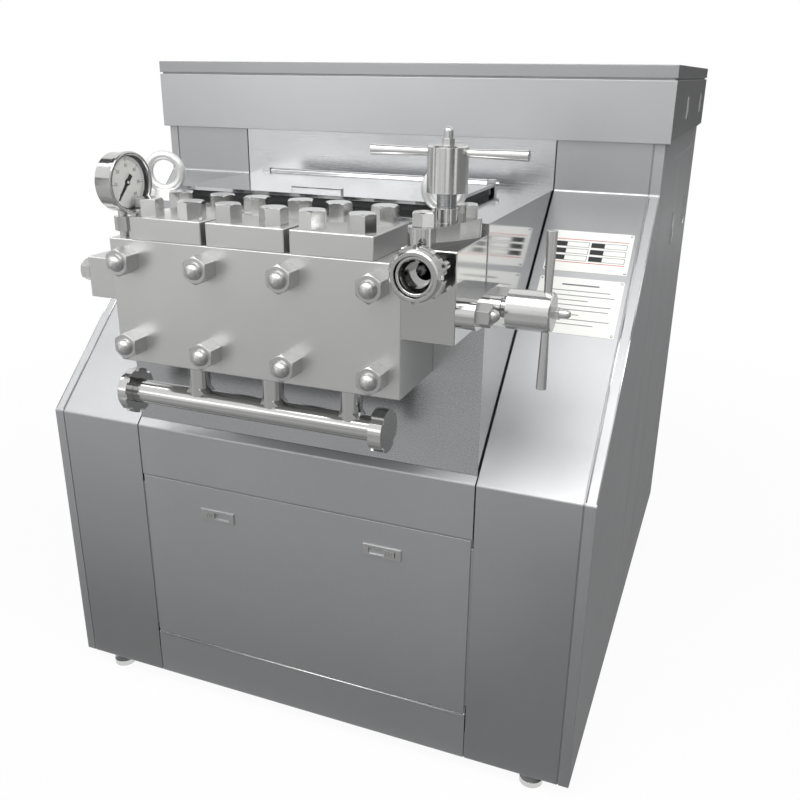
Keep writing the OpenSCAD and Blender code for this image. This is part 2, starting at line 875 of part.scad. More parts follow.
module motor() {
    foot = [motor_d * 0.8, motor_foot_h];
    fin_n = 28;
    fin = [6, 12];
    cowl_l = 90;
    box_w = 120;
    color("steelblue") place() {
        difference() {
            union() {
                rod_x(motor_d - 2 * fin[1], [motor_x[0], motor_x[1] - cowl_l], motor_y, motor_z);
                rod_x(motor_d, [motor_x[1] - cowl_l, motor_x[1]], motor_y, motor_z);
                for (k = [0 : fin_n - 1])
                    translate([motor_x[0] + tube, motor_y, motor_z]) rotate([k * 360 / fin_n, 0, 0])
                        translate([0, -fin[0] / 2, motor_d / 2 - 2 * fin[1]])
                            cube([motor_x[1] - motor_x[0] - tube - cowl_l + eps, fin[0], 2 * fin[1]]);
                for (x = [motor_x[0] + tube, motor_x[1] - 2 * tube])
                    box([x, x + motor_rail], [motor_y - foot[0] / 2, motor_y + foot[0] / 2],
                        [z_frame, z_frame + 2 * foot[1]]);
                box([motor_x[0] + 2 * tube, motor_x[0] + 2 * tube + box_w],
                    [motor_y - box_w / 2, motor_y + box_w / 2],
                    [motor_z, motor_z + motor_d / 2 + tube]);
            }
            rod_x(motor_shaft_d + 4, [motor_x[0] - 1, motor_x[0] + tube], motor_y, motor_z);
        }
    }
}

// Closed belt path round both pulleys, a polygon in the YZ plane lying clear of the grooves
belt_steps = 24;
belt_round = 1 / cos(180 / belt_steps);
drive_gap = [motor_y - crank_y, motor_z - z_plunger];
drive_turn = atan2(drive_gap[1], drive_gap[0]);
belt_lap = acos((pulley_d - motor_pulley_d) / 2 / norm(drive_gap));
function arc(c, r, a0, a1) = [
    for (k = [0 : belt_steps])
        let (a = a0 + (a1 - a0) * k / belt_steps) [c[0] + r * cos(a), c[1] + r * sin(a)]
];
function belt_path(out) = concat(
    arc([crank_y, z_plunger], (pulley_d / 2 - groove_depth + belt_fit) * belt_round + out,
        drive_turn + belt_lap, drive_turn + 360 - belt_lap),
    arc([motor_y, motor_z], (motor_pulley_d / 2 - groove_depth + belt_fit) * belt_round + out,
        drive_turn - belt_lap, drive_turn + belt_lap)
);

module drive_belts() {
    step = drive_w / (groove_n + 0.5);
    half_belt = groove_w / 2 - belt_fit;
    color("black") place()
        for (k = [0 : groove_n - 1]) {
            mid = drive_x + (k - (groove_n - 1) / 2) * step;
            difference() {
                along_x([mid - half_belt, mid + half_belt]) polygon(belt_path(belt_t));
                along_x([mid - groove_w, mid + groove_w]) polygon(belt_path(0));
            }
        }
}

// Connecting rod along Y from its crankpin eye to its wrist pin eye, turned to point at the wrist pin
eye_w = 30;
big_eye = pin_d + 40;
small_eye = wrist_d + 26;

module con_rod(i) {
    lean = asin(crank_r * sin(throws[i]) / rod_l);
    shank = [22, 34];
    color("gray") place() translate([cylinders[i], pin_y(i), pin_z(i)]) rotate([lean, 0, 0])
        difference() {
            union() {
                rod_x(big_eye, [-eye_w / 2, eye_w / 2], 0, 0);
                rod_x(small_eye, [-eye_w / 2, eye_w / 2], -rod_l, 0);
                box([-shank[0] / 2, shank[0] / 2], [-rod_l, 0], [-shank[1] / 2, shank[1] / 2]);
            }
            rod_x(pin_d + 2 * run_fit, [-eye_w, eye_w], 0, 0);
            rod_x(wrist_d, [-eye_w, eye_w], -rod_l, 0);
        }
}

// Crosshead and plunger: a guided cylinder with a fork for the connecting rod at its rear end.
// The fork is deep enough for the rod's eye wherever the two stand along their strokes.
fork_in = 2 * crank_r + small_eye / 2 + 4;
fork_out = 40;
fork_w = eye_w + 3;
guided_l = 110;

module plunger(i) {
    y = wrist_y(i);
    root = y - fork_in;
    front = root - guided_l;
    tip = front - (crank_y - rod_l - fork_in - guided_l - crank_r - valve_y) + 2 * crank_r;
    cut = crosshead_d;
    color("silver") place() {
        difference() {
            rod_y(crosshead_d, cylinders[i], [front, y + fork_out], z_plunger);
            box([cylinders[i] - fork_w / 2, cylinders[i] + fork_w / 2], [root, y + fork_out + 1],
                [z_plunger - cut, z_plunger + cut]);
            rod_x(wrist_d + 2 * run_fit, [cylinders[i] - cut, cylinders[i] + cut], y, z_plunger);
        }
        // Wrist pin ends in the two cheeks
        for (s = [-1, 1]) {
            mid = cylinders[i] + s * (fork_w / 2 + 11);
            rod_x(wrist_d, [mid - 10, mid + 10], y, z_plunger);
        }
        rod_y(plunger_d, cylinders[i], [tip, front + eps], z_plunger);
    }
}

module plunger_seals() {
    lip = 8;
    color("dimgray") place()
        for (x = cylinders) difference() {
            union() {
                rod_y(gland_d - 2 * run_fit, x, [case_y + eps, case_y + gland_l], z_plunger);
                rod_y(gland_d + 2 * lip, x, [case_y + case_front, case_y + gland_l], z_plunger);
            }
            rod_y(plunger_d + 2 * run_fit, x, [case_y - 1, case_y + gland_l + 1], z_plunger);
        }
}

// Pump head

port_d = branch_d - 2 * pipe_wall;
valve_d = 56;
suction_seat = z_plunger - 42;
delivery_port = [z_plunger + 22, z_plunger + 28];
delivery_seat = delivery_port[1];
stem_up = 18;
chamber_h = stem_up + valve_lift + 10;
gallery_d = 16;
bolt_depth = lid_t + 30;

module pump_block() {
    color("lightgray") place() difference() {
        eased_box([block_left, half_block], [block_front, case_y], [z_block, z_block_top], ease);
        for (x = cylinders) {
            rod_y(plunger_d + 2, x, [valve_y, case_y + 1], z_plunger);
            rod_z(port_d, x, valve_y, [z_block - 1, z_block_top + 1]);
            rod_z(valve_d, x, valve_y, [suction_seat, delivery_port[0]]);
            rod_z(valve_d, x, valve_y, [delivery_seat, z_block_top + 1]);
            for (dx = [-bolt_x / 2, bolt_x / 2], dy = [-bolt_y / 2, bolt_y / 2])
                rod_z(bolt_d + 2 * run_fit, x + dx, valve_y + dy,
                      [z_block_top - bolt_depth + lid_t - 1, z_block_top + 1]);
        }
        rod_x(gallery_d, [-pitch, half_block + 1], valve_y, z_second);
        for (k = [-1.5 : 1 : 1.5], s = [-1, 1])
            rod_y(stud_d + 1, k * pitch, [block_front - 1, case_y + 1], z_studs + s * stud_rows / 2);
    }
}

module valve_covers() {
    spigot_h = z_block_top - delivery_seat - chamber_h;
    gauge_room = 38;
    lid_w = pitch - lid_slot;
    color("silver") place()
        for (x = cylinders) difference() {
            union() {
                eased_box([max(x - lid_w / 2, block_left + gauge_room), x + lid_w / 2],
                          [block_front, case_y - 1],
                          [z_block_top, z_block_top + lid_t], ease);
                rod_z(valve_d - 2 * run_fit, x, valve_y, [z_block_top - spigot_h, z_block_top + eps]);
            }
            for (dx = [-bolt_x / 2, bolt_x / 2], dy = [-bolt_y / 2, bolt_y / 2])
                rod_z(bolt_d + 1, x + dx, valve_y + dy, [z_block_top - 1, z_block_top + lid_t + 1]);
        }
}

// Each bolt ends up at its own angle when it is tightened
function bolt_turn(i, u, v) = 30 + 40 * i + 15 * u + 25 * v;

module cover_bolts() {
    color("gainsboro") place() {
        for (i = [0 : 2], u = [0, 1], v = [0, 1])
            translate([cylinders[i] + (u - 0.5) * bolt_x, valve_y + (v - 0.5) * bolt_y, z_block_top + lid_t])
                rotate([0, 0, bolt_turn(i, u, v)]) hex_bolt(hex_af, hex_h, bolt_d, bolt_depth);
        for (s = [-1, 1])
            translate([stage_x, valve_y, z_vb_top + flange_t]) rotate([0, 0, -flange_turn])
                translate([0, s * flange_bolt, 0])
                    hex_bolt(flange_af, flange_hex, flange_stud, flange_t + flange_depth);
    }
}

module head_nuts() {
    color("gainsboro") place() {
        for (k = [-1.5 : 1 : 1.5], s = [-1, 1])
            translate([k * pitch, block_front, z_studs + s * stud_rows / 2]) rotate([90, 0, 0])
                rotate([0, 0, 30])
                    stud_nut(head_af, head_nut_h, stud_d, block_d + case_front - 2 * chamfer);
        for (s = [-1, 1])
            translate([vb_right + flange_t, valve_y + s * flange_bolt, z_second]) rotate([0, 90, 0])
                stud_nut(flange_af, flange_hex, flange_stud, flange_t + flange_stud);
    }
}

// A disc valve on a guide stem
module disc_valve(x, seat) {
    disc_d = valve_d - 8;
    stem_d = port_d / 3;
    color("silver") place() {
        rod_z(disc_d, x, valve_y, [seat + door_fit, seat + 8]);
        rod_z(stem_d, x, valve_y, [seat - 12, seat + stem_up]);
    }
}

// Inlet manifold

union_room = 4;
cap_room = 52;
manifold_x = [-half_block - union_room, pitch + cap_room];
liner_l = 30;
mouth_x = manifold_x[0] - liner_l;

module inlet_manifold() {
    bore = pipe_d - 2 * pipe_wall;
    tee_z = z_inlet + pipe_d / 2;
    color("silver") place() {
        difference() {
            union() {
                rod_x(pipe_d, manifold_x, valve_y, z_inlet);
                for (x = cylinders) {
                    rod_z(branch_d, x, valve_y, [z_inlet, z_block]);
                    // Small flared foot of the branch, flat in front and behind
                    intersection() {
                        translate([x, valve_y, tee_z - 3])
                            cylinder(d1 = branch_d + 10, d2 = branch_d, h = 8);
                        box([x - branch_d, x + branch_d],
                            [valve_y - branch_d / 2 + ease, valve_y + branch_d / 2 - ease],
                            [z_inlet, z_block]);
                    }
                }
            }
            rod_x(bore, [manifold_x[0] - 1, manifold_x[1] + 1], valve_y, z_inlet);
            for (x = cylinders) rod_z(port_d, x, valve_y, [z_inlet, z_block + 1]);
        }
    }
}

// Union liner along Z: a tube with a collar that the round nut draws up
module liner(l) {
    collar_t = 8;
    difference() {
        union() {
            cylinder(d = pipe_d, h = l);
            translate([0, 0, l - collar_t]) cylinder(d = pipe_d + 12, h = collar_t);
        }
        translate([0, 0, -1]) cylinder(d = pipe_d - 2 * liner_wall, h = l + 2);
    }
}

module inlet_liner() {
    color("silver") place() translate([manifold_x[0], valve_y, z_inlet]) rotate([0, -90, 0])
        liner(liner_l);
}

// Round slotted nut along Z, its open end up: slots in the rear part, a plain ring in front
module union_nut() {
    lip = 5;
    slot = 8;
    ring = 8;
    bevel = 2;
    front_d = union_d - 8;
    difference() {
        union() {
            cylinder(d = union_d, h = union_l - ring);
            cylinder(d = front_d, h = union_l - bevel);
            translate([0, 0, union_l - bevel])
                cylinder(d1 = front_d, d2 = front_d - 2 * bevel, h = bevel);
        }
        translate([0, 0, -1]) cylinder(d = pipe_d + 1, h = union_l + 2);
        translate([0, 0, lip]) cylinder(d = pipe_d + 14, h = union_l);
        for (k = [0 : union_slots - 1]) rotate([0, 0, k * 360 / union_slots])
            translate([front_d / 2 + door_fit, -slot / 2, -1]) cube([slot, slot, union_l]);
    }
}

// Small drilled lug on the outlet's nut
module nut_lug() {
    lug = 11;
    rotate([0, 0, 180 / union_slots]) translate([union_d / 2 + 1, 0, 0]) difference() {
        cylinder(d = lug, h = union_l / 2);
        translate([0, 0, -1]) cylinder(d = lug / 2, h = union_l);
    }
}

nut_back = union_l - nut_proud;

module union_nuts() {
    color("silver") place() {
        translate([mouth_x + nut_back, valve_y, z_inlet]) rotate([0, -90, 0]) union_nut();
        translate([outlet_x, outlet_y + nut_back, z_outlet]) rotate([90, 0, 0]) {
            union_nut();
            nut_lug();
        }
    }
}

module manifold_cap() {
    cap_d = union_d - 8;
    cap_l = 20;
    slot = 10;
    color("silver") place() difference() {
        rod_x(cap_d, [manifold_x[1] - cap_l + 6, manifold_x[1] + 6], valve_y, z_inlet);
        rod_x(pipe_d + 2 * run_fit, [manifold_x[1] - cap_l, manifold_x[1]], valve_y, z_inlet);
        for (k = [0 : 3]) translate([0, valve_y, z_inlet]) rotate([45 + 90 * k, 0, 0])
            box([manifold_x[1] - cap_l, manifold_x[1] + 7], [-slot / 2, slot / 2],
                [cap_d / 2 - 4, cap_d / 2 + 4]);
    }
}

// Relief block at the left end, with its hexagon plug
relief_w = 78;
relief_h = 62;
relief_z = z_plunger + 22;

module relief_block() {
    plug_af = 30;
    plug_h = 17;
    plug_up = 7;
    color("silver") place() {
        eased_box([-half_block - relief_w, block_left],
                  [valve_y - relief_h / 4, valve_y + 3 * relief_h / 4],
                  [relief_z - relief_h / 2, relief_z + relief_h / 2], ease);
        translate([-half_block - relief_w + eps, valve_y, relief_z + plug_up]) rotate([0, -90, 0])
            hex(plug_af, plug_h);
    }
}

// Pressure gauge, modelled with its face towards -Y and its middle at the origin

bezel_t = 6;
bezel_w = 5;
face_out = 21;
dial_in = 10;
pointer_gap = 1;

module at_gauge() {
    place() translate([-half_block + gauge_x, block_front + gauge_x / 2 + 2, z_block_top + gauge_up])
        rotate([0, 0, gauge_turn]) children();
}

module gauge_case() {
    hex_z = [-gauge_up + 10, -gauge_up + 30];
    stem_d = 13;
    stem_af = 22;
    window = gauge_d - 2 * bezel_w;
    color("silver") at_gauge() {
        difference() {
            union() {
                rod_y(gauge_d - 4, 0, [-face_out + bezel_t - eps, -face_out + gauge_t], 0);
                rod_y(gauge_d, 0, [-face_out, -face_out + bezel_t], 0);
                rod_z(stem_d, 0, 0, [-gauge_up, -gauge_d / 2 + 6]);
                translate([0, 0, hex_z[0]])
                    cylinder(d = stem_af / cos(30), h = hex_z[1] - hex_z[0], $fn = 6);
            }
            rod_y(window, 0, [-face_out - 1, -face_out + dial_in], 0);
        }
    }
}

dial_t = 1.5;
pivot_d = 4;

module gauge_dial() {
    window = gauge_d - 2 * bezel_w - 2 * run_fit;
    color("white") at_gauge() {
        rod_y(window, 0, [-face_out + dial_in - dial_t, -face_out + dial_in], 0);
        rod_y(pivot_d, 0, [-face_out + dial_in - dial_t - 3, -face_out + dial_in - dial_t + eps], 0);
    }
}

needle_rest = 40;

module gauge_needle() {
    y = -face_out + dial_in - dial_t - pointer_gap;
    tip = gauge_d / 2 - 12;
    tail = 12;
    width = 3;
    thick = 0.8;
    color("black") at_gauge() translate([0, y, 0]) rotate([0, needle_rest, 0]) rotate([90, 0, 0])
        difference() {
            union() {
                linear_extrude(thick) polygon([[-width, tail], [width, tail], [width / 3, -tip],
                                               [-width / 3, -tip]]);
                cylinder(d = 3 * width, h = thick);
            }
            translate([0, 0, -1]) cylinder(d = pivot_d + 2 * run_fit, h = thick + 2);
        }
}

module gauge_lens() {
    window = gauge_d - 2 * bezel_w - 2 * run_fit;
    color("lightblue") at_gauge() rod_y(window, 0, [-face_out + 1, -face_out + 3], 0);
}

// Homogenizing valves

bonnet_bore = spindle_d + 2;
valve_seat = 46;
outlet_port = 24;
flange_depth = 12;

module valve_block() {
    color("silver") place() difference() {
        eased_box([half_block, vb_right], [vb_front, case_y], [z_vb, z_vb_top], ease);
        rod_z(bonnet_bore + 14, stage_x, valve_y, [z_vb_top - valve_seat, z_vb_top + 1]);
        rod_x(bonnet_bore + 14, [stage_x, vb_right + 1], valve_y, z_second);
        rod_x(gallery_d, [half_block - 1, stage_x + 1], valve_y, z_second);
        rod_y(outlet_port, outlet_x, [vb_front - 1, valve_y], z_outlet);
        rod_z(outlet_port / 2, stage_x, valve_y, [z_second + gallery_d - 3, z_vb_top - valve_seat + 1]);
        for (s = [-1, 1]) {
            translate([stage_x, valve_y, z_vb_top]) rotate([0, 0, -flange_turn])
                translate([0, s * flange_bolt, -flange_depth - 1])
                    cylinder(d = flange_stud + 2 * run_fit, h = flange_depth + 2);
            rod_x(flange_stud + 2 * run_fit, [vb_right - flange_stud - 1, vb_right + 1],
                  valve_y + s * flange_bolt, z_second);
        }
    }
}

module outlet_liner() {
    color("silver") place() translate([outlet_x, vb_front, z_outlet]) rotate([90, 0, 0])
        liner(outlet_l);
}

// Lens shaped flange with its two bolt holes along Y, and the neck of the bonnet along Z
lens_mid = 22;
lens_end = 20;
function lens_side(s) =
    let (a = asin((lens_mid - lens_end) / flange_bolt))
    [lens_mid * [cos(a), s * sin(a)], [lens_end * cos(a), s * (flange_bolt + lens_end * sin(a))]];

module bonnet() {
    right = concat(reversed(lens_side(-1)), lens_side(1));
    outline = concat(right, [for (p = reversed(right)) [-p[0], p[1]]]);
    difference() {
        union() {
            cylinder(r = lens_mid, h = flange_t);
            for (s = [-1, 1]) translate([0, s * flange_bolt, 0]) cylinder(r = lens_end, h = flange_t);
            linear_extrude(flange_t) polygon(outline);
            cylinder(d = neck_d, h = flange_t + neck_l / 3);
            cylinder(d = thread_d, h = flange_t + neck_l);
        }
        translate([0, 0, -1]) cylinder(d = bonnet_bore, h = flange_t + neck_l + 2);
        for (s = [-1, 1]) translate([0, s * flange_bolt, -1])
            cylinder(d = flange_stud + 1, h = flange_t + 2);
    }
}

module at_first_stage() {
    place() translate([stage_x, valve_y, z_vb_top]) children();
}

module at_second_stage() {
    place() translate([vb_right, valve_y, z_second]) rotate([0, 90, 0]) children();
}

module valve_bonnets() {
    color("silver") {
        at_first_stage() rotate([0, 0, -flange_turn]) bonnet();
        at_second_stage() bonnet();
    }
}

// Handle along Z: a hub screwed over the neck, two tapered bars and a cap nut on its end
skirt = flange_t + neck_l + spindle_lift + 2;
hub_edge = 2;
cap_af = 14;
cap_hex = 8;
cap_dome = 12;
cap_l = 8;

module handle(gap) {
    hub_low = flange_t + gap;
    hub_high = hub_low + hub_l;
    bar_z = hub_high - bar_in;
    bar_from = hub_d / 2 - 2 * hub_edge;
    difference() {
        union() {
            cylinder_between(hub_d, hub_low, hub_high - hub_edge);
            translate([0, 0, hub_high - hub_edge])
                cylinder(d1 = hub_d, d2 = hub_d - 2 * hub_edge, h = hub_edge);
            for (s = [0, 1]) mirror([s, 0, 0]) translate([bar_from, 0, bar_z]) rotate([0, 90, 0])
                cylinder(d1 = bar_root, d2 = bar_d, h = bar_l / 2 - bar_from);
        }
        cylinder_between(thread_d + 2 * door_fit, hub_low - 1, skirt);
        cylinder_between(spindle_d + 2 * run_fit, hub_low, skirt + spindle_lift);
    }
    translate([0, 0, hub_high - eps]) {
        cylinder(d = cap_af / cos(30), h = cap_hex, $fn = 6);
        cylinder_between(cap_dome, cap_hex - eps, cap_hex + cap_l);
        translate([0, 0, cap_hex + cap_l]) intersection() {
            sphere(d = cap_dome);
            cylinder(d = cap_dome + 1, h = cap_dome);
        }
    }
}

module cylinder_between(d, low, high) {
    translate([0, 0, low]) cylinder(d = d, h = high - low);
}

// Valve rod along Z: a stem through the bonnet and a valve head below it
module spindle() {
    head_d = bonnet_bore + 10;
    cylinder_between(spindle_d, -valve_seat + 4, skirt + spindle_lift - door_fit);
    cylinder_between(head_d, -valve_seat + 2, -valve_seat + 16);
}

module first_stage_rod() { color("silver") at_first_stage() spindle(); }

module second_stage_rod() { color("silver") at_second_stage() second_spindle(); }

// The second stage's bore ends at the valve block's middle, so its rod is shorter
module second_spindle() {
    seat = vb_w / 2;
    head_d = bonnet_bore + 10;
    cylinder_between(spindle_d, -seat + 4, skirt + spindle_lift - door_fit);
    cylinder_between(head_d, -seat + 2, -seat + 14);
}

module first_stage_handle() { color("silver") at_first_stage() handle(first_gap); }

module second_stage_handle() { color("silver") at_second_stage() handle(second_gap); }

base_frame();
levelling_feet();
left_side_panel();
right_side_panel();
left_front_panel();
right_front_panel();
front_header();
front_sill();
service_door();
service_latch(-1);  // service_latch_left
service_latch(1);  // service_latch_right
side_door();
side_latch(side_latch_front_y);  // side_latch_front
side_latch(side_latch_rear_y);  // side_latch_rear
upper_wall();
hood();
hood_lid();
rear_panel();
crankcase();
inspection_cover();
lifting_eyes();
main_bearings();
crankshaft();
drive_pulley();
con_rod(0);  // con_rod_1
con_rod(1);  // con_rod_2
con_rod(2);  // con_rod_3
plunger(0);  // plunger_1
plunger(1);  // plunger_2
plunger(2);  // plunger_3
plunger_seals();
motor();
motor_rotor();
drive_belts();
pump_block();
valve_covers();
cover_bolts();
head_nuts();
disc_valve(cylinders[0], suction_seat);  // suction_valve_1
disc_valve(cylinders[1], suction_seat);  // suction_valve_2
disc_valve(cylinders[2], suction_seat);  // suction_valve_3
disc_valve(cylinders[0], delivery_seat);  // delivery_valve_1
disc_valve(cylinders[1], delivery_seat);  // delivery_valve_2
disc_valve(cylinders[2], delivery_seat);  // delivery_valve_3
inlet_manifold();
inlet_liner();
union_nuts();
manifold_cap();
relief_block();
gauge_case();
gauge_dial();
gauge_needle();
gauge_lens();
valve_block();
outlet_liner();
valve_bonnets();
first_stage_rod();
first_stage_handle();
second_stage_rod();
second_stage_handle();
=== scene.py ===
import logging
import math
from dataclasses import dataclass, field
from enum import Enum
from typing import Any, Sequence

import bmesh
import bpy
from bmesh.types import BMesh, BMVert
from bpy.types import Material, Node, NodeSocket, NodeTree, Object
from mathutils import Euler, Matrix, Vector


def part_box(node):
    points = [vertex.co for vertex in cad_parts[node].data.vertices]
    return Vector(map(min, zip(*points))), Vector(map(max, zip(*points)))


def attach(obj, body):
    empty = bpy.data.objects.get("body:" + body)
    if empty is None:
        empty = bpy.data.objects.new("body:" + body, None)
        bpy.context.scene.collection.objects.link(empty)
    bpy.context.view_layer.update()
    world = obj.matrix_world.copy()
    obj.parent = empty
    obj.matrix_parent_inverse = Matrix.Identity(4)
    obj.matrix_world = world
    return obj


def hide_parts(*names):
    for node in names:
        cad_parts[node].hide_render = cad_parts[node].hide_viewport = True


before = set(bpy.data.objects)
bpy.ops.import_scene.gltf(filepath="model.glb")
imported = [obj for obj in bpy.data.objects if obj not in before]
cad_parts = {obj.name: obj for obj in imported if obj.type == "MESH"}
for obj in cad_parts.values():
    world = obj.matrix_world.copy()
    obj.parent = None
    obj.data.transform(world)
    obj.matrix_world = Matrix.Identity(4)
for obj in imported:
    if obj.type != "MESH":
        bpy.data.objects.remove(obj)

# Measures that belong together
Pair = tuple[float, float]
Triple = tuple[float, float, float]

LOG = logging.getLogger("homogenizer")
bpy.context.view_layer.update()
MACHINE = "machine"
MM = 0.001
# Share that the brush marks have in a steel's roughness, beside the wiped patches
MARK_SHARE = 0.65
# Values between which nearly all of a noise texture lies
NOISE_SPAN = (0.3, 0.7)
# How many grains wide the broad patches of a coat are
PATCH_GRAINS = 25
# Turns from lying flat to facing the front or the right
TO_FRONT = Matrix.Rotation(math.pi / 2, 4, "X")
TO_RIGHT = Matrix.Rotation(math.pi / 2, 4, "Y")
# Distance at which two points of a piece are one
MERGE = 1e-6
# Share of a rim's thickness by which its front edges are broken
RIM_BREAK = 0.45
# Steps round each kind of turned piece
RIVET_STEPS = 14
THREAD_STEPS = 48
RING_STEPS = 72
LINER_STEPS = 96
# Steps round half the section of the sill's bead and of smaller rounded edges
BEAD_STEPS = 10
EDGE_STEPS = 8
# Radius and height of each point of a rivet's head, as shares of the head's radius
RIVET_HEAD = ((0, 0), (1, 0), (0.9, 0.35), (0.5, 0.62), (0, 0.7))


class Grain(Enum):
    """Direction in which a steel surface was brushed or ground, as scales of its marks along X, Y and Z."""

    ALONG_X = (0.02, 1.0, 1.0)
    ALONG_Y = (1.0, 0.02, 1.0)
    ALONG_Z = (1.0, 1.0, 0.02)
    NONE = (1.0, 1.0, 1.0)


def linear(hex_code: str) -> tuple[float, float, float, float]:
    """Turns an sRGB hex colour into linear light.

    Args:
        hex_code: Six hex digits, such as "c8c9ca".

    Returns:
        The linear red, green, blue and an alpha of one.
    """
    parts = [int(hex_code[i:i + 2], 16) / 255 for i in (0, 2, 4)]
    light = [c / 12.92 if c <= 0.04045 else ((c + 0.055) / 1.055) ** 2.4 for c in parts]
    return light[0], light[1], light[2], 1.0


def add_node(tree: NodeTree, kind: str, inputs: dict[str, Any]) -> Node:
    """Adds one shader node with its settings and its incoming links.

    Args:
        tree: The node tree that gets the node.
        kind: The node's type without its ShaderNode prefix.
        inputs: Values by the name of an attribute, or what feeds an input by its name or index: a value, a
            socket, or a node whose first output is meant.

    Returns:
        The new node.
    """
    node = tree.nodes.new("ShaderNode" + kind)
    for key, value in inputs.items():
        if hasattr(node, key):
            setattr(node, key, value)
            continue
        entry = node.inputs[int(key) if key.isdigit() else key]
        if isinstance(value, Node):
            value = value.outputs[0]
        if isinstance(value, NodeSocket):
            tree.links.new(value, entry)
        else:
            entry.default_value = value
    return node


def fresh_material(name: str) -> tuple[Material, NodeTree]:
    """Makes an empty node material.

    Args:
        name: The material's name.

    Returns:
        The material and its node tree.
    """
    material = bpy.data.materials.new(name)
    material.use_nodes = True
    material.node_tree.nodes.clear()
    return material, material.node_tree


@dataclass(frozen=True)
class Patch:
    """A stretch of a piece along one axis that is duller than the rest.

    Attributes:
        axis: The axis along which the stretch lies, X, Y or Z.
        centre: Where it is dullest, in metres.
        reach: How far it fades out to either side.
        rough: Roughness added at its centre.
    """

    axis: str
    centre: float
    reach: float
    rough: float


@dataclass(frozen=True)
class SteelFinish:
    """Stainless steel with a worked surface.

    Attributes:
        name: Name of the material, after the steel and how it was finished.
        colour: Colour of the clean steel.
        stain: Colour of the slightly duller patches.
        rough: Lowest and highest roughness across the grain.
        grain: Direction of the brush or grinding marks.
        grain_mm: Spacing of the marks, as coarse as a render can show.
        mottle_mm: Size of the patches left by handling and wiping.
        bump_mm: Depth of the marks.
        edge_mm: Radius to which sharp edges are broken in shading.
        patch: A stretch with another roughness, if there is one.
    """

    name: str
    colour: str
    stain: str
    rough: Pair
    grain: Grain
    grain_mm: float
    mottle_mm: float
    bump_mm: float
    edge_mm: float
    patch: Patch | None = None

    def build(self) -> Material:
        """Builds the material.

        Returns:
            The finished material.
        """
        material, tree = fresh_material(self.name)
        place = add_node(tree, "TexCoord", {}).outputs["Object"]
        stretched = add_node(tree, "Mapping", {"Scale": self.grain.value, "Vector": place})
        marks = add_node(tree, "TexNoise", {"Scale": 1000 / self.grain_mm, "Detail": 3.0, "Roughness": 0.6,
                                            "Vector": stretched})
        patches = add_node(tree, "TexNoise", {"Scale": 1000 / self.mottle_mm, "Detail": 4.0,
                                              "Roughness": 0.55, "Vector": place})
        tint = add_node(tree, "Mix", {"data_type": "RGBA", "0": patches, "6": linear(self.colour),
                                      "7": linear(self.stain)})
        wiped = add_node(tree, "Math", {"operation": "MULTIPLY", "0": patches, "1": 1 - MARK_SHARE})
        mixed = add_node(tree, "Math", {"operation": "MULTIPLY_ADD", "0": marks, "1": MARK_SHARE, "2": wiped})
        gloss = add_node(tree, "MapRange", {"From Min": NOISE_SPAN[0], "From Max": NOISE_SPAN[1],
                                            "To Min": self.rough[0], "To Max": self.rough[1], "Value": mixed})
        if self.patch:
            along = add_node(tree, "SeparateXYZ", {"Vector": place}).outputs[self.patch.axis]
            off = add_node(tree, "Math", {"operation": "SUBTRACT", "0": along, "1": self.patch.centre})
            away = add_node(tree, "Math", {"operation": "ABSOLUTE", "0": off})
            more = add_node(tree, "MapRange", {"From Max": self.patch.reach, "To Min": self.patch.rough,
                                               "To Max": 0.0, "Value": away})
            gloss = add_node(tree, "Math", {"operation": "ADD", "0": gloss, "1": more})
        soft = add_node(tree, "Bevel", {"samples": 4, "Radius": self.edge_mm * MM})
        relief = add_node(tree, "Bump", {"Strength": 1.0, "Distance": self.bump_mm * MM, "Height": marks,
                                         "Normal": soft})
        shader = add_node(tree, "BsdfPrincipled", {"Metallic": 1.0, "Base Color": tint.outputs[2],
                                                   "Roughness": gloss, "Normal": relief})
        add_node(tree, "OutputMaterial", {"Surface": shader})
        return material


@dataclass(frozen=True)
class CoatFinish:
    """A paint, enamel, rubber or plastic with a fine grain.

    Attributes:
        name: Name of the material.
        colour: Main colour.
        worn: Colour of the lighter or darker specks.
        rough: Lowest and highest roughness.
        grain_mm: Size of the grain.
        bump_mm: Depth of the grain.
        metallic: Share of bare metal in the surface.
    """

    name: str
    colour: str
    worn: str
    rough: Pair
    grain_mm: float
    bump_mm: float
    metallic: float = 0.0

    def build(self) -> Material:
        """Builds the material.

        Returns:
            The finished material.
        """
        material, tree = fresh_material(self.name)
        place = add_node(tree, "TexCoord", {}).outputs["Object"]
        grain = add_node(tree, "TexNoise", {"Scale": 1000 / self.grain_mm, "Detail": 5.0, "Vector": place})
        broad = add_node(tree, "TexNoise", {"Scale": 1000 / (PATCH_GRAINS * self.grain_mm), "Detail": 3.0,
                                            "Vector": place})
        tint = add_node(tree, "Mix", {"data_type": "RGBA", "0": broad, "6": linear(self.colour),
                                      "7": linear(self.worn)})
        gloss = add_node(tree, "MapRange", {"From Min": NOISE_SPAN[0], "From Max": NOISE_SPAN[1],
                                            "To Min": self.rough[0], "To Max": self.rough[1], "Value": grain})
        relief = add_node(tree, "Bump", {"Strength": 1.0, "Distance": self.bump_mm * MM, "Height": grain})
        shader = add_node(tree, "BsdfPrincipled", {"Metallic": self.metallic, "Base Color": tint.outputs[2],
                                                   "Roughness": gloss, "Normal": relief})
        add_node(tree, "OutputMaterial", {"Surface": shader})
        return material


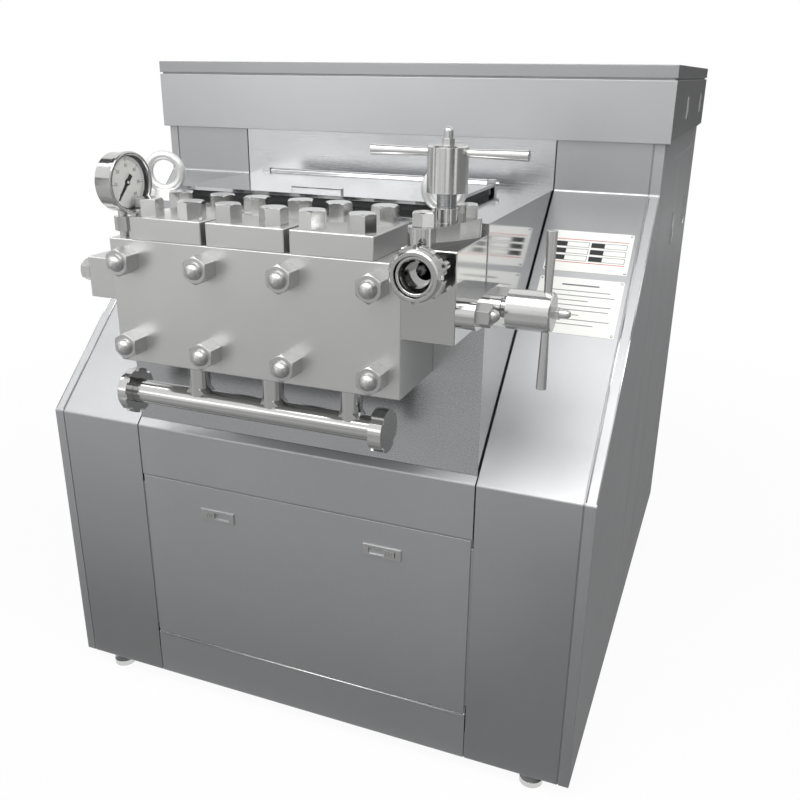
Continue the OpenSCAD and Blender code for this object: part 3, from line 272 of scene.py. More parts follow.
@dataclass(frozen=True)
class GlassFinish:
    """Clear flat glass.

    Attributes:
        name: Name of the material.
        colour: Faint tint of the glass.
        rough: Lowest and highest roughness, from wiping marks.
        smear_mm: Size of the wiping marks.
    """

    name: str
    colour: str
    rough: Pair
    smear_mm: float

    def build(self) -> Material:
        """Builds the material.

        Returns:
            The finished material.
        """
        material, tree = fresh_material(self.name)
        place = add_node(tree, "TexCoord", {}).outputs["Object"]
        smear = add_node(tree, "TexNoise", {"Scale": 1000 / self.smear_mm, "Detail": 4.0, "Vector": place})
        gloss = add_node(tree, "MapRange", {"To Min": self.rough[0], "To Max": self.rough[1], "Value": smear})
        shader = add_node(tree, "BsdfPrincipled", {"Base Color": linear(self.colour), "IOR": 1.5,
                                                   "Transmission Weight": 1.0, "Roughness": gloss})
        add_node(tree, "OutputMaterial", {"Surface": shader})
        return material


# Cold rolled stainless sheet, brushed with a belt: soft streaked gloss, grey under a studio ceiling
PANEL = SteelFinish("stainless_sheet_brushed_upright", "bcbdbe", "b0b1b3", (0.42, 0.52), Grain.ALONG_Z,
                    1.2, 180.0, 0.003, 2.0)
# The front sheets are wiped and leant on about the fold into the slope, which leaves that part duller
SLOPE = SteelFinish("stainless_sheet_brushed_sloped", "bcbdbe", "b0b1b3", (0.31, 0.41), Grain.ALONG_Z,
                    1.2, 180.0, 0.003, 2.0, Patch("Z", 0.64, 0.22, 0.18))
# The hood's walls are brushed along their length; their paler base colour than the cabinet's sheets is
# painted light, for the brighter light on the hood
HOOD = SteelFinish("stainless_sheet_brushed_level", "cbcccd", "bfc0c1", (0.28, 0.36), Grain.ALONG_X,
                   1.2, 200.0, 0.003, 2.0)
# The lid lies level; its darker grey base colour is painted shade, for the dimmer light that falls on it
LID = SteelFinish("stainless_sheet_brushed_shaded", "aeafb0", "a2a3a5", (0.34, 0.42), Grain.ALONG_X,
                  1.2, 200.0, 0.003, 2.0)
# Mill finished stainless sheet of the wall behind the pump, with the cloudy marks of rolling; its brighter
# base colour is painted light, for the light that falls on the wall
WALL = SteelFinish("stainless_sheet_mill_finish", "e2e3e4", "cacbcd", (0.18, 0.30), Grain.ALONG_X,
                   2.4, 70.0, 0.002, 0.8)
# The crankcase's cladding is polished after welding: it mirrors the slope beside it, while the machined wall
# in front stays satin
CASE_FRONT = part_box("crankcase")[0].y
CASE = SteelFinish("stainless_plate_polished", "c2c3c4", "b7b8ba", (0.08, 0.12), Grain.ALONG_Y,
                   1.2, 120.0, 0.0006, 0.6, Patch("Y", CASE_FRONT, 0.003, 0.17))
# Forged stainless block, fine ground: a dense satin that takes broad soft highlights
BLOCK = SteelFinish("stainless_forging_ground", "d2d2d1", "c6c6c5", (0.34, 0.42), Grain.ALONG_X,
                    0.6, 110.0, 0.0012, 0.7)
# The valve block is polished on all sides and mirrors the plates on the slope
VALVE = SteelFinish("stainless_forging_polished", "d0d0cf", "c4c4c3", (0.08, 0.13), Grain.ALONG_X,
                    0.6, 110.0, 0.0008, 0.7)
# Turned and polished fittings: nearly mirror bright with faint turning marks
BRIGHT = SteelFinish("stainless_turned_polished", "d2d2d1", "c6c6c5", (0.09, 0.17), Grain.NONE,
                     2.0, 40.0, 0.002, 0.5)
# Hexagon bolts and nuts, forged and tumbled: a duller bright surface
HEXAGON = SteelFinish("stainless_hexagon_tumbled", "dcdcdb", "cfcfce", (0.12, 0.20), Grain.NONE,
                      1.5, 30.0, 0.004, 0.5)
# Domed studs and their nuts, turned and left satin; their base colour, darker than the bolts', is painted
# shade for the nuts' darker faces
NUT = SteelFinish("stainless_nut_satin", "c6c6c5", "bababa", (0.28, 0.38), Grain.NONE, 1.5, 30.0, 0.004, 0.5)
# Hubs and bars of the handles, turned from the bar and buffed
HANDLE = SteelFinish("stainless_bar_buffed", "dcdcdb", "cececd", (0.15, 0.25), Grain.NONE,
                     2.0, 40.0, 0.003, 0.5)
# Drop forged and electropolished lifting eyes: pale, with a soft sheen
FORGED = SteelFinish("stainless_forging_electropolished", "eaeae9", "dededd", (0.36, 0.48), Grain.NONE,
                     3.0, 25.0, 0.01, 0.5)
# Ground and oiled running parts
GROUND = SteelFinish("steel_ground_oiled", "a9aaac", "989a9c", (0.16, 0.3), Grain.NONE, 1.5, 50.0, 0.004, 0.5)
# Square tube of the base frame, descaled and left bare
TUBE = SteelFinish("stainless_tube_pickled", "9a9b9c", "8a8c8e", (0.4, 0.58), Grain.NONE,
                   2.5, 60.0, 0.012, 1.0)
# Grey cast iron, turned on the rim
IRON = CoatFinish("cast_iron_turned", "4a4b4d", "3e3f41", (0.38, 0.55), 2.0, 0.02, 0.7)
# Two coat machine paint on the motor
PAINT = CoatFinish("motor_enamel_blue_grey", "5a6876", "4f5c69", (0.32, 0.45), 3.0, 0.015)
# Moulded rubber of belts and seals: dull, a little dusty
RUBBER = CoatFinish("moulded_rubber_black", "1b1b1c", "28282a", (0.6, 0.78), 1.2, 0.02)
# Stoved white enamel of the gauge's dial and of the blank plates
ENAMEL = CoatFinish("stoved_enamel_white", "f0f0ec", "e8e8e4", (0.32, 0.42), 2.0, 0.003)
# Black printing ink on enamel
INK = CoatFinish("printing_ink_black", "161617", "222224", (0.4, 0.5), 1.0, 0.002)
# Grey printing ink of ruled lines
RULE = CoatFinish("printing_ink_grey", "5b5c5e", "6a6b6d", (0.4, 0.5), 1.0, 0.002)
# Red printing ink of the plates' rules
RED = CoatFinish("printing_ink_red", "b8453c", "c4574e", (0.4, 0.5), 1.0, 0.002)
# Dark, dull black of the ring round the dial: painted shade, standing in for the shadow that the bezel casts
# on the dial's edge
GASKET = CoatFinish("bezel_shade_black", "2a2a2b", "353536", (0.6, 0.75), 1.0, 0.02)
# Float glass of the gauge
GLASS = GlassFinish("float_glass_clear", "fdfdfd", (0.0, 0.03), 12.0)

Finish = SteelFinish | CoatFinish | GlassFinish
SHOP: dict[str, Material] = {}
# The solids that have each finish
COATS = {
    PANEL: ("service_door", "left_side_panel", "right_side_panel", "side_door", "rear_panel", "front_header",
            "front_sill"),
    SLOPE: ("left_front_panel", "right_front_panel"),
    HOOD: ("hood",),
    LID: ("hood_lid",),
    WALL: ("upper_wall",),
    TUBE: ("base_frame",),
    CASE: ("crankcase", "inspection_cover"),
    FORGED: ("lifting_eyes",),
    BLOCK: ("pump_block", "valve_covers", "relief_block"),
    VALVE: ("valve_block",),
    HEXAGON: ("cover_bolts",),
    NUT: ("head_nuts",),
    HANDLE: ("first_stage_handle", "second_stage_handle"),
    BRIGHT: ("service_latch_left", "service_latch_right", "side_latch_front", "side_latch_rear",
             "levelling_feet", "inlet_manifold", "inlet_liner", "union_nuts", "manifold_cap", "outlet_liner",
             "valve_bonnets", "gauge_case"),
    GROUND: ("crankshaft", "main_bearings", "first_stage_rod", "second_stage_rod",
             *(f"{kind}_{k}" for kind in ("con_rod", "plunger", "suction_valve", "delivery_valve")
               for k in (1, 2, 3))),
    IRON: ("drive_pulley", "motor_rotor"),
    PAINT: ("motor",),
    RUBBER: ("plunger_seals", "drive_belts"),
    ENAMEL: ("gauge_dial",),
    INK: ("gauge_needle",),
    GLASS: ("gauge_lens",),
}
# Finishes that only the pieces built here have
TRIM = (RULE, RED, GASKET)


def coat(node: str, finish: Finish) -> None:
    """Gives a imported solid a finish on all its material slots.

    Args:
        node: The solid's name.
        finish: The finish that it gets.
    """
    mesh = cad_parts[node].data
    if not mesh.materials:
        mesh.materials.append(SHOP[finish.name])
    for i in range(len(mesh.materials)):
        mesh.materials[i] = SHOP[finish.name]


def mesh_object(name: str, mesh: BMesh, material: Material) -> Object:
    """Turns a bmesh into an object of the scene.

    Args:
        name: The object's name.
        mesh: The shape, which is freed.
        material: Its material.

    Returns:
        The new object.
    """
    data = bpy.data.meshes.new(name)
    mesh.to_mesh(data)
    mesh.free()
    data.materials.append(material)
    made = bpy.data.objects.new(name, data)
    bpy.context.scene.collection.objects.link(made)
    return made


def add_piece(name: str, mesh: BMesh, finish: Finish, body: str, smooth: bool = False) -> Object:
    """Turns a bmesh into a piece that rides on a body.

    Args:
        name: The piece's name.
        mesh: The shape, in metres, where it belongs on the machine.
        finish: Its finish.
        body: The body that carries it.
        smooth: Whether its faces are shaded smooth.

    Returns:
        The new object.
    """
    bmesh.ops.remove_doubles(mesh, verts=mesh.verts, dist=MERGE)
    bmesh.ops.recalc_face_normals(mesh, faces=mesh.faces)
    piece = mesh_object(name, mesh, SHOP[finish.name])
    for face in piece.data.polygons:
        face.use_smooth = smooth
    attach(piece, body)
    LOG.info("piece %s on %s", name, body)
    return piece


def rounded_plate(size: Vector, corner: float, place: Matrix, mesh: BMesh) -> None:
    """Adds a flat plate with rounded corners to a bmesh.

    Args:
        size: Width, height and thickness; the plate lies in its own XY plane, its back on z = 0.
        corner: Radius of the four corners.
        place: Where the plate goes.
        mesh: The bmesh that gets it.
    """
    made = bmesh.ops.create_cube(mesh, size=1.0)
    verts = made["verts"]
    bmesh.ops.scale(mesh, vec=size, verts=verts)
    bmesh.ops.translate(mesh, vec=(0, 0, size.z / 2), verts=verts)
    upright = [e for e in {e for v in verts for e in v.link_edges}
               if abs(e.verts[0].co.z - e.verts[1].co.z) > size.z / 2]
    if corner > 0:
        done = bmesh.ops.bevel(mesh, geom=upright, offset=corner, segments=4, profile=0.5, affect="EDGES",
                               material=-1)
        verts = list({v for f in done["faces"] for v in f.verts} | {v for v in verts if v.is_valid})
    bmesh.ops.transform(mesh, matrix=place, verts=verts)


def framed_plate(size: Vector, window: Vector, place: Matrix, mesh: BMesh) -> None:
    """Adds a flat plate with a window and broken front edges to a bmesh.

    Args:
        size: Width, height and thickness; the plate lies in its own XY plane, its back on z = 0.
        window: Width and height of the window.
        place: Where the plate goes.
        mesh: The bmesh that gets it.
    """
    corners = ((-0.5, -0.5), (0.5, -0.5), (0.5, 0.5), (-0.5, 0.5))
    rings = [[mesh.verts.new((x * wide.x, y * wide.y, z)) for x, y in corners]
             for wide, z in ((size, 0.0), (size, size.z), (window, size.z), (window, 0.0))]
    for k, ring in enumerate(rings):
        after = rings[(k + 1) % 4]
        for i in range(4):
            mesh.faces.new((ring[i], ring[(i + 1) % 4], after[(i + 1) % 4], after[i]))
    front = [e for ring in rings[1:3] for v in ring for e in v.link_edges
             if e.other_vert(v) in ring]
    made = bmesh.ops.bevel(mesh, geom=list(set(front)), offset=size.z * RIM_BREAK, segments=2, profile=0.5,
                           affect="EDGES", material=-1)
    verts = {v for f in made["faces"] for v in f.verts} | {v for ring in rings for v in ring if v.is_valid}
    bmesh.ops.transform(mesh, matrix=place, verts=list(verts))


def spun(outline: Sequence[Pair], place: Matrix, steps: int, mesh: BMesh) -> None:
    """Adds a turned shape to a bmesh.

    Args:
        outline: Radius and height of each point of the half section.
        place: Where the turned shape goes; it is turned about its own Z axis.
        steps: Number of steps round.
        mesh: The bmesh that gets it.
    """
    verts = [mesh.verts.new((r, 0, z)) for r, z in outline]
    edges = [mesh.edges.new((verts[i], verts[(i + 1) % len(verts)])) for i in range(len(verts))]
    made = bmesh.ops.spin(mesh, geom=verts + edges, cent=(0, 0, 0), axis=(0, 0, 1), angle=2 * math.pi,
                          steps=steps, use_merge=True, use_duplicate=False)
    ring = set(verts) | {v for v in made["geom_last"] if isinstance(v, BMVert)}
    grown = set(ring)
    while ring:
        ring = {e.other_vert(v) for v in ring for e in v.link_edges} - grown
        grown |= ring
    bmesh.ops.transform(mesh, matrix=place, verts=list(grown))


def drawn(section: Sequence[Vector], along: Vector, mesh: BMesh) -> None:
    """Adds a bar to a bmesh, drawn from a flat section along a straight line.

    Args:
        section: The points of the section.
        along: The way from one end of the bar to the other.
        mesh: The bmesh that gets it.
    """
    start = mesh.faces.new([mesh.verts.new(point) for point in section])
    grown = bmesh.ops.extrude_face_region(mesh, geom=[start], use_keep_orig=True)
    far = [v for v in grown["geom"] if isinstance(v, BMVert)]
    bmesh.ops.translate(mesh, vec=along, verts=far)


def half_circle(steps: int) -> list[Pair]:
    """Lists points on a half circle of radius one.

    Args:
        steps: Number of steps between the points.

    Returns:
        The cosine and the sine of each point.
    """
    return [(math.cos(math.pi * k / steps), math.sin(math.pi * k / steps)) for k in range(steps + 1)]


@dataclass(frozen=True)
class Print:
    """One plain printed patch on a plate.

    Attributes:
        u: Left and right edge as shares of the plate's width.
        v: Lower and upper edge as shares of the plate's height.
        ink: The ink.
    """

    u: Pair
    v: Pair
    ink: CoatFinish


# Rows and columns of the table on the upper plate, as shares of its height and its width
ROWS = tuple(0.265 + 0.17 * row for row in range(3))
DARK_CELLS = (0.06, 0.51)
BLANK_CELLS = (0.22, 0.67)
SIDES = (0.22, 0.485, 0.67, 0.935)
# A table of dark and of blank cells between two red rules
TABLE = ((Print((0.05, 0.95), (0.78, 0.795), RED), Print((0.05, 0.95), (0.215, 0.23), RED))
         + tuple(Print((u + 0.004, u + 0.16), (v + 0.005, v + 0.125), INK) for v in ROWS for u in DARK_CELLS)
         + tuple(Print((u, u + 0.27), (v, v + 0.01), RULE)
                 for row in ROWS for u in BLANK_CELLS for v in (row, row + 0.12))
         + tuple(Print((u, u + 0.006), (v, v + 0.13), RULE) for v in ROWS for u in SIDES))
# Right ends of the thin rules on the lower plate
RULE_ENDS = (0.86, 0.92, 0.62, 0.90, 0.88, 0.55, 0.91, 0.74)
# One heavy rule over the thin ones
LINES = ((Print((0.28, 0.72), (0.86, 0.885), RULE),)
         + tuple(Print((0.08, end), (0.76 - 0.085 * row, 0.772 - 0.085 * row), RULE)
                 for row, end in enumerate(RULE_ENDS)))


@dataclass
class Cabinet:
    """The cabinet's blank plates on the slope, its polished rims and its folds.

    Attributes:
        slope_rise: Height of the slope.
        slope_run: Depth of the slope.
        slope_foot: Height of the fold at the slope's foot.
        plate_w: Width of the two plates.
        upper_plate: Lower and upper edge of the upper plate, measured along Y from the front face.
        lower_plate: The same for the lower plate.
        plate_x: Middle of the plates across the machine.
        plate_t: Thickness of a plate.
        plate_corner: Radius of a plate's corners.
        ink_t: Thickness of the printing ink.
        rivet_r: Radius of a rivet's head.
        rivet_in: Twice the distance of a rivet's middle from a plate's edge.
        latch_size: Length and width of a latch plate.
        latch_window: Length and width of its window.
        latch_t: Thickness of the polished rim on a latch plate.
        door_latches: Place of the service door's latches: either side of the middle, front and height.
        side_latches: Place of the side door's latches: side, two depths and height.
        joint_y: Place of the joint in each side panel.
        flange: Thickness, width and clearance of the flange folded behind that joint.
        flange_z: Lower and upper end of the flange.
        side_in: Distance of a side panel's inner face from the middle.
        bead_half: Half the length of the rolled bead along the sill's upper edge.
        bead_y: Front of the sill and front of the bead.
        bead_z: Lower and upper edge of the bead.
        grip_size: Height and width of a grip plate on the hood.
        grip_rim: Width and thickness of the polished rim round it.
        grip_spots: Place of the grips: side of the hood, two depths and height.
        edge_x: Middle of the rounded edges along both sides of the folded strip on a slope.
        edge_size: Half the width and the height of such an edge.
        edge_span: Start and end of the edges behind the front face.
    """

    slope_rise: float = 0.382
    slope_run: float = 0.406
    slope_foot: float = 0.538
    plate_w: float = 0.136
    upper_plate: Pair = (0.286, 0.345)
    lower_plate: Pair = (0.200, 0.277)
    plate_x: float = 0.386
    plate_t: float = 0.0006
    plate_corner: float = 0.003
    ink_t: float = 0.00008
    rivet_r: float = 0.0022
    rivet_in: float = 0.008
    latch_size: Pair = (0.066, 0.020)
    latch_window: Pair = (0.046, 0.011)
    latch_t: float = 0.0006
    door_latches: Triple = (0.153, -0.497, 0.392)
    side_latches: tuple[float, float, float, float] = (0.482, 0.235, 0.515, 0.820)
    joint_y: float = -0.040
    flange: Triple = (0.0015, 0.024, 0.0002)
    flange_z: Pair = (0.0805, 1.002)
    side_in: float = 0.478
    bead_half: float = 0.2985
    bead_y: Pair = (-0.495, -0.4964)
    bead_z: Pair = (0.1148, 0.1178)
    grip_size: Pair = (0.034, 0.020)
    grip_rim: Pair = (0.003, 0.0014)
    grip_spots: tuple[float, float, float, float] = (0.488, 0.169, 0.515, 1.0515)
    edge_x: Pair = (0.4641, 0.4789)
    edge_size: Pair = (0.0011, 0.0005)
    edge_span: Pair = (0.003, 0.402)

    @property
    def tilt(self) -> float:
        """Angle of the slope above the level, in radians."""
        return math.atan2(self.slope_rise, self.slope_run)

    def on_slope(self, x: float, depth: float) -> Matrix:
        """Finds a place on the slope.

        Args:
            x: Distance to the right of the middle, in metres.
            depth: Distance behind the front face, in metres.

        Returns:
            A matrix whose XY plane is the slope's surface.
        """
        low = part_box("front_sill")[0]
        spot = Vector((x, low.y + depth, self.slope_foot + depth * math.tan(self.tilt)))
        return Matrix.Translation(spot) @ Matrix.Rotation(self.tilt, 4, "X")

    def plate(self, name: str, span: Pair, prints: Sequence[Print]) -> None:
        """Builds one plate with its rules and blank cells and its rivets.

        Args:
            name: The plate's name.
            span: Its lower and upper edge along Y.
            prints: What is printed on it.
        """
        height = (span[1] - span[0]) / math.cos(self.tilt)
        place = self.on_slope(self.plate_x, (span[0] + span[1]) / 2)
        face = place @ Matrix.Translation((0, 0, self.plate_t))
        sheet = bmesh.new()
        rounded_plate(Vector((self.plate_w, height, self.plate_t)), self.plate_corner, place, sheet)
        add_piece(name, sheet, ENAMEL, MACHINE)
        for ink in (INK, RULE, RED):
            patches = [p for p in prints if p.ink is ink]
            if not patches:
                continue
            mesh = bmesh.new()
            for p in patches:
                middle = (self.plate_w * (sum(p.u) / 2 - 0.5), height * (sum(p.v) / 2 - 0.5), 0)
                size = Vector((self.plate_w * (p.u[1] - p.u[0]), height * (p.v[1] - p.v[0]), self.ink_t))
                rounded_plate(size, 0, face @ Matrix.Translation(middle), mesh)
            add_piece(name + "_" + ink.name, mesh, ink, MACHINE)
        head = [(self.rivet_r * r, self.rivet_r * z) for r, z in RIVET_HEAD]
        rivets = bmesh.new()
        for sx in (-0.5, 0.5):
            for sy in (-0.5, 0.5):
                spot = (sx * (self.plate_w - self.rivet_in), sy * (height - self.rivet_in), 0)
                spun(head, face @ Matrix.Translation(spot), RIVET_STEPS, rivets)
        add_piece(name + "_rivets", rivets, BRIGHT, MACHINE, True)

    def rims(self) -> None:
        """Builds the polished rims of the four latch plates."""
        size = Vector((*self.latch_size, self.latch_t))
        window = Vector((*self.latch_window, 0))
        x, y, z = self.door_latches
        side_x, front_y, rear_y, side_z = self.side_latches
        spots = {"service_door": [Matrix.Translation((s * x, y, z)) @ TO_FRONT for s in (-1, 1)],
                 "side_door": [Matrix.Translation((side_x, depth, side_z)) @ TO_RIGHT
                               for depth in (front_y, rear_y)]}
        for node, places in spots.items():
            mesh = bmesh.new()
            for place in places:
                framed_plate(size, window, place, mesh)
            add_piece(node + "_latch_rims", mesh, BRIGHT, node)

    def grips(self) -> None:
        """Builds the polished rims round the grips on both sides of the hood."""
        hood_x, front_y, rear_y, grip_z = self.grip_spots
        wide, thick = self.grip_rim
        inner = Vector((*self.grip_size, 0))
        outer = Vector((inner.x + 2 * wide, inner.y + 2 * wide, thick))
        mesh = bmesh.new()
        for side in (-1, 1):
            turn = Matrix.Rotation(side * math.pi / 2, 4, "Y")
            for depth in (front_y, rear_y):
                framed_plate(outer, inner, Matrix.Translation((side * hood_x, depth, grip_z)) @ turn, mesh)
        add_piece("hood_grip_rims", mesh, BRIGHT, MACHINE)

    def flanges(self) -> None:
        """Builds the flanges behind the joints in the side panels."""
        thick, wide, gap = self.flange
        low, high = self.flange_z
        mesh = bmesh.new()
        for side in (-1, 1):
            spot = (side * (self.side_in - gap - thick / 2), self.joint_y, low)
            rounded_plate(Vector((thick, wide, high - low)), 0, Matrix.Translation(spot), mesh)
        add_piece("joint_flanges", mesh, PANEL, MACHINE)

    def bead(self) -> None:
        """Builds the rolled bead along the sill's upper edge."""
        back, front = self.bead_y
        low, high = self.bead_z
        half = (high - low) / 2
        section = [Vector((-self.bead_half, back + (front - back) * s, low + half - half * c))
                   for c, s in half_circle(BEAD_STEPS)]
        mesh = bmesh.new()
        drawn(section, Vector((2 * self.bead_half, 0, 0)), mesh)
        add_piece("sill_bead", mesh, HANDLE, MACHINE, True)

    def edges(self) -> None:
        """Builds the rounded edges of the folded strips on both slopes."""
        start, end = self.edge_span
        half, height = self.edge_size
        length = (end - start) / math.cos(self.tilt)
        mesh = bmesh.new()
        for middle in (side * x for side in (-1, 1) for x in self.edge_x):
            place = self.on_slope(middle, start)
            section = [place @ Vector((-half * c, 0, height * s)) for c, s in half_circle(EDGE_STEPS)]
            drawn(section, place.to_3x3() @ Vector((0, length, 0)), mesh)
        add_piece("slope_edges", mesh, HANDLE, MACHINE, True)

    def build(self) -> None:
        """Builds the plates on the slope, the rims of latches and grips and the folds of the sheets."""
        self.plate("upper_plate", self.upper_plate, TABLE)
        self.plate("lower_plate", self.lower_plate, LINES)
        self.rims()
        self.grips()
        self.flanges()
        self.bead()
        self.edges()


@dataclass
class Crankcase:
    """The crankcase's seal under its inspection cover, whose black also paints the shade in the gap under the
    cover.

    Attributes:
        top_z: Height of the case's top.
        cover_half: Half the width of the inspection cover.
        cover_y: Front and rear end of the cover's seal.
        seal_in: Distance of the seal behind the cover's edges.
        seal_w: Width of the seal.
        seal_z: Height of the gap that the seal fills.
        seal_gap: Clearance round the seal.
        seal_corner: Radius of its corners.
    """

    top_z: float = 0.920
    cover_half: float = 0.220
    cover_y: Pair = (-0.427, -0.195)
    seal_in: float = 0.003
    seal_w: float = 0.0065
    seal_z: float = 0.010
    seal_gap: float = 0.0003
    seal_corner: float = 0.002

    def build(self) -> None:
        """Builds the rubber seal between the case and its inspection cover; its black fills the gap and
        paints that gap's shade.
        """
        gap = self.seal_gap
        high = self.seal_z - 2 * gap
        half = self.cover_half - self.seal_in
        front = self.cover_y[0] + self.seal_in
        rear = self.cover_y[1]
        base = self.top_z + gap
        mesh = bmesh.new()
        rounded_plate(Vector((2 * half, self.seal_w, high)), self.seal_corner,
                      Matrix.Translation((0, front + self.seal_w / 2, base)), mesh)
        length = rear - front - self.seal_w - gap
        for side in (-1, 1):
            spot = (side * (half - self.seal_w / 2), rear - length / 2, base)
            rounded_plate(Vector((self.seal_w, length, high)), self.seal_corner,
                          Matrix.Translation(spot), mesh)
        # Partly a real seal, partly painted shade: its black darkens the gap under the cover
        add_piece("inspection_seal_shade", mesh, RUBBER, MACHINE)


@dataclass
class PumpHead:
    """The threads and the turned outlet liner of the pump head.

    Attributes:
        stage_x: Place of the upper valve's axis across the machine.
        valve_y: Place of both valves' axes from front to back.
        block_top: Height of the valve block's top.
        block_right: Right end of the valve block.
        second_z: Height of the side valve's axis.
        thread_r: Radius of the neck at the bottom of its thread and at the crest.
        thread_span: Start and end of the thread above the valve block's face.
        thread_step: Distance between two ridges.
        thread_crest: Start and end of a ridge's crest, as shares of that distance.
        thread_core: Thickness of the sleeve under the ridges.
        liner_r: Radius of the outlet liner's bore, of its tube and of the mouth of its cone.
        collar_l: Length of its collar.
        seat_l: Depth of the cone in its mouth.
        liner_break: How far its outer corner and the mouth's edge are broken.
        throat: How far the cone narrows first, and over what depth.
    """

    stage_x: float = 0.263
    valve_y: float = -0.551
    block_top: float = 0.905
    block_right: float = 0.300
    second_z: float = 0.826
    thread_r: Pair = (0.01245, 0.01272)
    thread_span: Pair = (0.0425, 0.0765)
    thread_step: float = 0.002
    thread_crest: Pair = (0.35, 0.65)
    thread_core: float = 0.0005
    liner_r: Triple = (0.0165, 0.019, 0.0212)
    collar_l: float = 0.008
    seat_l: float = 0.0105
    liner_break: Pair = (0.0008, 0.0006)
    throat: Pair = (0.0012, 0.004)

    def threads(self) -> None:
        """Builds the thread ridges on both bonnets' necks."""
        side = Matrix.Translation((self.block_right, self.valve_y, self.second_z))
        places = {"upper_thread": Matrix.Translation((self.stage_x, self.valve_y, self.block_top)),
                  "side_thread": side @ TO_RIGHT}
        root, crest = self.thread_r
        start, end = self.thread_span
        rise, fall = self.thread_crest
        count = round((end - start) / self.thread_step)
        ridges = [(r, start + (k + share) * self.thread_step)
                  for k in range(count) for r, share in ((root, 0.0), (crest, rise), (crest, fall))]
        core = root - self.thread_core
        outline = [(core, start)] + ridges + [(root, end), (core, end)]
        for name, place in places.items():
            mesh = bmesh.new()
            spun(outline, place, THREAD_STEPS, mesh)
            add_piece(name, mesh, GROUND, MACHINE, True)

    def liner(self) -> None:
        """Builds the turned outlet liner, with the cone in its mouth, in place of the plain one."""
        low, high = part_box("outlet_liner")
        back = Vector(((low.x + high.x) / 2, high.y, (low.z + high.z) / 2))
        place = Matrix.Translation(back) @ TO_FRONT
        length = high.y - low.y
        rim = (high.x - low.x) / 2
        bore, tube, mouth = self.liner_r
        corner, edge = self.liner_break
        narrow, deep = self.throat
        collar = length - self.collar_l
        mesh = bmesh.new()
        spun([(bore, 0), (tube, 0), (tube, collar), (rim, collar), (rim, length - corner),
              (rim - corner, length), (mouth + edge, length), (mouth, length - edge),
              (mouth - narrow, length - deep), (bore, length - self.seat_l)], place, LINER_STEPS, mesh)
        liner = add_piece("outlet_liner_turned", mesh, BRIGHT, MACHINE)
        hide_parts("outlet_liner")

    def build(self) -> None:
        """Builds the threads and the outlet liner."""
        self.threads()
        self.liner()


